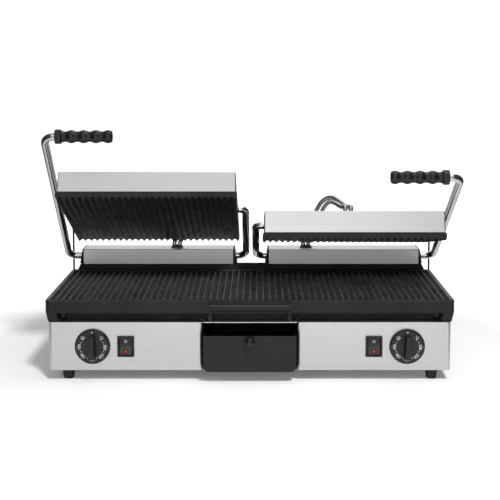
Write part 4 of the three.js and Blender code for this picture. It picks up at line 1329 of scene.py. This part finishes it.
@dataclass
class Studio:
    """Pale floor, soft lights, and a camera a little above the grill and in front of it."""

    camera: Point = (15.0, -1641.6, 481.1)
    pitch: float = 6.0
    lens: float = 80.7
    shift: Flat = (-0.0197, -0.1458)

    def build(self) -> None:
        """Makes the floor, the lights, the world and the camera."""
        self.floor()
        self.light("overhead", (0.35, -0.1, 1.6), (0.0, 0.0, 0.1), 1.0, 5.0)
        self.light("behind", (0.2, 1.4, 1.5), (0.0, 0.0, 0.1), 1.2, 0.9)
        self.light("low_front", (0.0, -2.6, 0.5), (0.0, 0.0, 0.15), 1.2, 4.2)
        self.light("key", (0.6, -2.0, 2.3), (0.0, 0.0, 0.1), 0.35, 70.0).visible_glossy = False
        self.light("front_left", (-1.5, -1.6, 1.3), (0.0, 0.0, 0.15), 0.8, 5.0).visible_glossy = False
        self.world()
        self.aim()

    def floor(self) -> None:
        """Makes the floor that the grill stands on."""
        bm = bmesh.new()
        bmesh.ops.create_grid(bm, x_segments=1, y_segments=1, size=12.0)
        mesh = bpy.data.meshes.new("floor")
        bm.to_mesh(mesh)
        bm.free()
        floor = bpy.data.objects.new("floor", mesh)
        bpy.context.scene.collection.objects.link(floor)
        shader = Shader("pale_floor")
        shader.surface.inputs["Roughness"].default_value = 0.9
        shader.surface.inputs["Specular IOR Level"].default_value = 0.1
        links = shader.tree.links
        seen = shader.add("ShaderNodeLightPath").outputs["Is Camera Ray"]
        reach = shader.add("ShaderNodeVectorMath", operation="LENGTH")
        links.new(shader.place(), reach.inputs[0])
        sideways = shader.add("ShaderNodeVectorMath", operation="LENGTH")
        links.new(shader.place((1.0, 0.0, 0.0)), sideways.inputs[0])
        # Every ray but the camera's sees a grey floor that goes near black out to the sides: painted shade that gives
        # bright metal dark reflections.
        aside = shader.span(sideways.outputs["Value"], 0.0, 1.0, 0.45, 0.8)
        shaded_floor_for_reflections = shader.tint(aside, (0.77,) * 3, (0.06,) * 3)
        paper = shader.tint(shader.noise(shader.place(), 3.0), (0.9,) * 3, (0.93,) * 3)
        base = shader.add("ShaderNodeMix", data_type="RGBA")
        for socket, source in (("Factor", seen), ("A", shaded_floor_for_reflections), ("B", paper)):
            links.new(source, base.inputs[socket])
        shader.feed(base.outputs["Result"], "Base Color")
        # The camera sees the floor glow, faintly near the grill and fully further out, so that it reads as white.
        lit = shader.add("ShaderNodeMath", operation="MULTIPLY")
        links.new(seen, lit.inputs[0])
        links.new(shader.span(reach.outputs["Value"], 0.12, 1.0, 0.45, 1.0), lit.inputs[1])
        shader.surface.inputs["Emission Color"].default_value = (1.0, 1.0, 1.0, 1.0)
        shader.feed(lit.outputs[0], "Emission Strength")
        mesh.materials.append(shader.material)

    def light(self, name: str, at: Point, to: Point, size: float, power: float) -> bpy.types.Object:
        """Adds a square soft light.

        Args:
            name: Its name.
            at: Where it is, in metres.
            to: What it points at.
            size: Its side in metres.
            power: Its power in watts.

        Returns:
            The light.
        """
        data = bpy.data.lights.new(name, "AREA")
        data.shape = "SQUARE"
        data.size = size
        data.energy = power
        lamp = bpy.data.objects.new(name, data)
        lamp.location = at
        lamp.rotation_euler = (Vector(to) - Vector(at)).to_track_quat("-Z", "Y").to_euler()
        bpy.context.scene.collection.objects.link(lamp)
        return lamp

    def world(self) -> None:
        """Makes the white surround, with a darker belt that gives bright metal its contrast."""
        world = bpy.data.worlds.new("studio")
        world.use_nodes = True
        bpy.context.scene.world = world
        tree = world.node_tree
        background = tree.nodes["Background"]
        coordinates = tree.nodes.new("ShaderNodeTexCoord")
        split = tree.nodes.new("ShaderNodeSeparateXYZ")
        ramp = tree.nodes.new("ShaderNodeValToRGB")
        stops = [
            (0.0, 0.9), (0.49, 0.8), (0.53, 0.7), (0.6, 0.55),
            (0.7, 0.75), (0.78, 1.05), (0.85, 1.05), (1.0, 0.3),
        ]
        while len(ramp.color_ramp.elements) < len(stops):
            ramp.color_ramp.elements.new(0.5)
        for element, (position, value) in zip(ramp.color_ramp.elements, stops):
            element.position = position
            element.color = (value, value, value, 1.0)
        height = tree.nodes.new("ShaderNodeMapRange")
        height.inputs["From Min"].default_value = -1.0
        path = tree.nodes.new("ShaderNodeLightPath")
        mix = tree.nodes.new("ShaderNodeMix")
        mix.data_type = "RGBA"
        mix.inputs["B"].default_value = (1.1, 1.1, 1.1, 1.0)
        tree.links.new(coordinates.outputs["Generated"], split.inputs[0])
        tree.links.new(split.outputs["Z"], height.inputs["Value"])
        tree.links.new(height.outputs[0], ramp.inputs["Fac"])
        side = tree.nodes.new("ShaderNodeMath")
        side.operation = "ABSOLUTE"
        shade = tree.nodes.new("ShaderNodeMapRange")
        for socket, number in (("From Min", 0.3), ("From Max", 0.6), ("To Min", 1.0), ("To Max", 0.06)):
            shade.inputs[socket].default_value = number
        dimmed = tree.nodes.new("ShaderNodeVectorMath")
        dimmed.operation = "SCALE"
        tree.links.new(split.outputs["X"], side.inputs[0])
        tree.links.new(side.outputs[0], shade.inputs["Value"])
        tree.links.new(ramp.outputs["Color"], dimmed.inputs[0])
        tree.links.new(shade.outputs[0], dimmed.inputs["Scale"])
        tree.links.new(dimmed.outputs[0], mix.inputs["A"])
        tree.links.new(path.outputs["Is Camera Ray"], mix.inputs["Factor"])
        tree.links.new(mix.outputs["Result"], background.inputs["Color"])
        power = tree.nodes.new("ShaderNodeMapRange")
        power.inputs["To Min"].default_value = 0.95
        power.inputs["To Max"].default_value = 0.5
        tree.links.new(path.outputs["Is Diffuse Ray"], power.inputs["Value"])
        tree.links.new(power.outputs[0], background.inputs["Strength"])

    def aim(self) -> None:
        """Places the camera."""
        data = bpy.data.cameras.new("view")
        data.lens = self.lens
        data.sensor_width = 36.0
        data.shift_x, data.shift_y = self.shift
        data.clip_end = 50.0
        camera = bpy.data.objects.new("view", data)
        camera.location = DATUM @ Vector(self.camera)
        camera.rotation_euler = (math.radians(90.0 - self.pitch), 0.0, 0.0)
        bpy.context.scene.collection.objects.link(camera)
        bpy.context.scene.camera = camera
        bpy.context.scene.view_settings.view_transform = "Standard"


def main() -> None:
    """Builds the grill's looks in order."""
    logging.basicConfig(level=logging.INFO, format="%(name)s: %(message)s")
    Studio().build()
    CadFinishes().build()
    Refined().build()
    Feet().build()
    Drawer().build()
    LowerPlate().build()
    for side in Side:
        stance = Stance(side)
        Dial(side).build()
        Switch(side).build()
        HingeBox(side).build()
        RearUpright(side).build()
        Arm(stance).build()
        UpperPlate(stance).build()
        Conduits(stance).build()


if __name__ == "__main__":
    main()
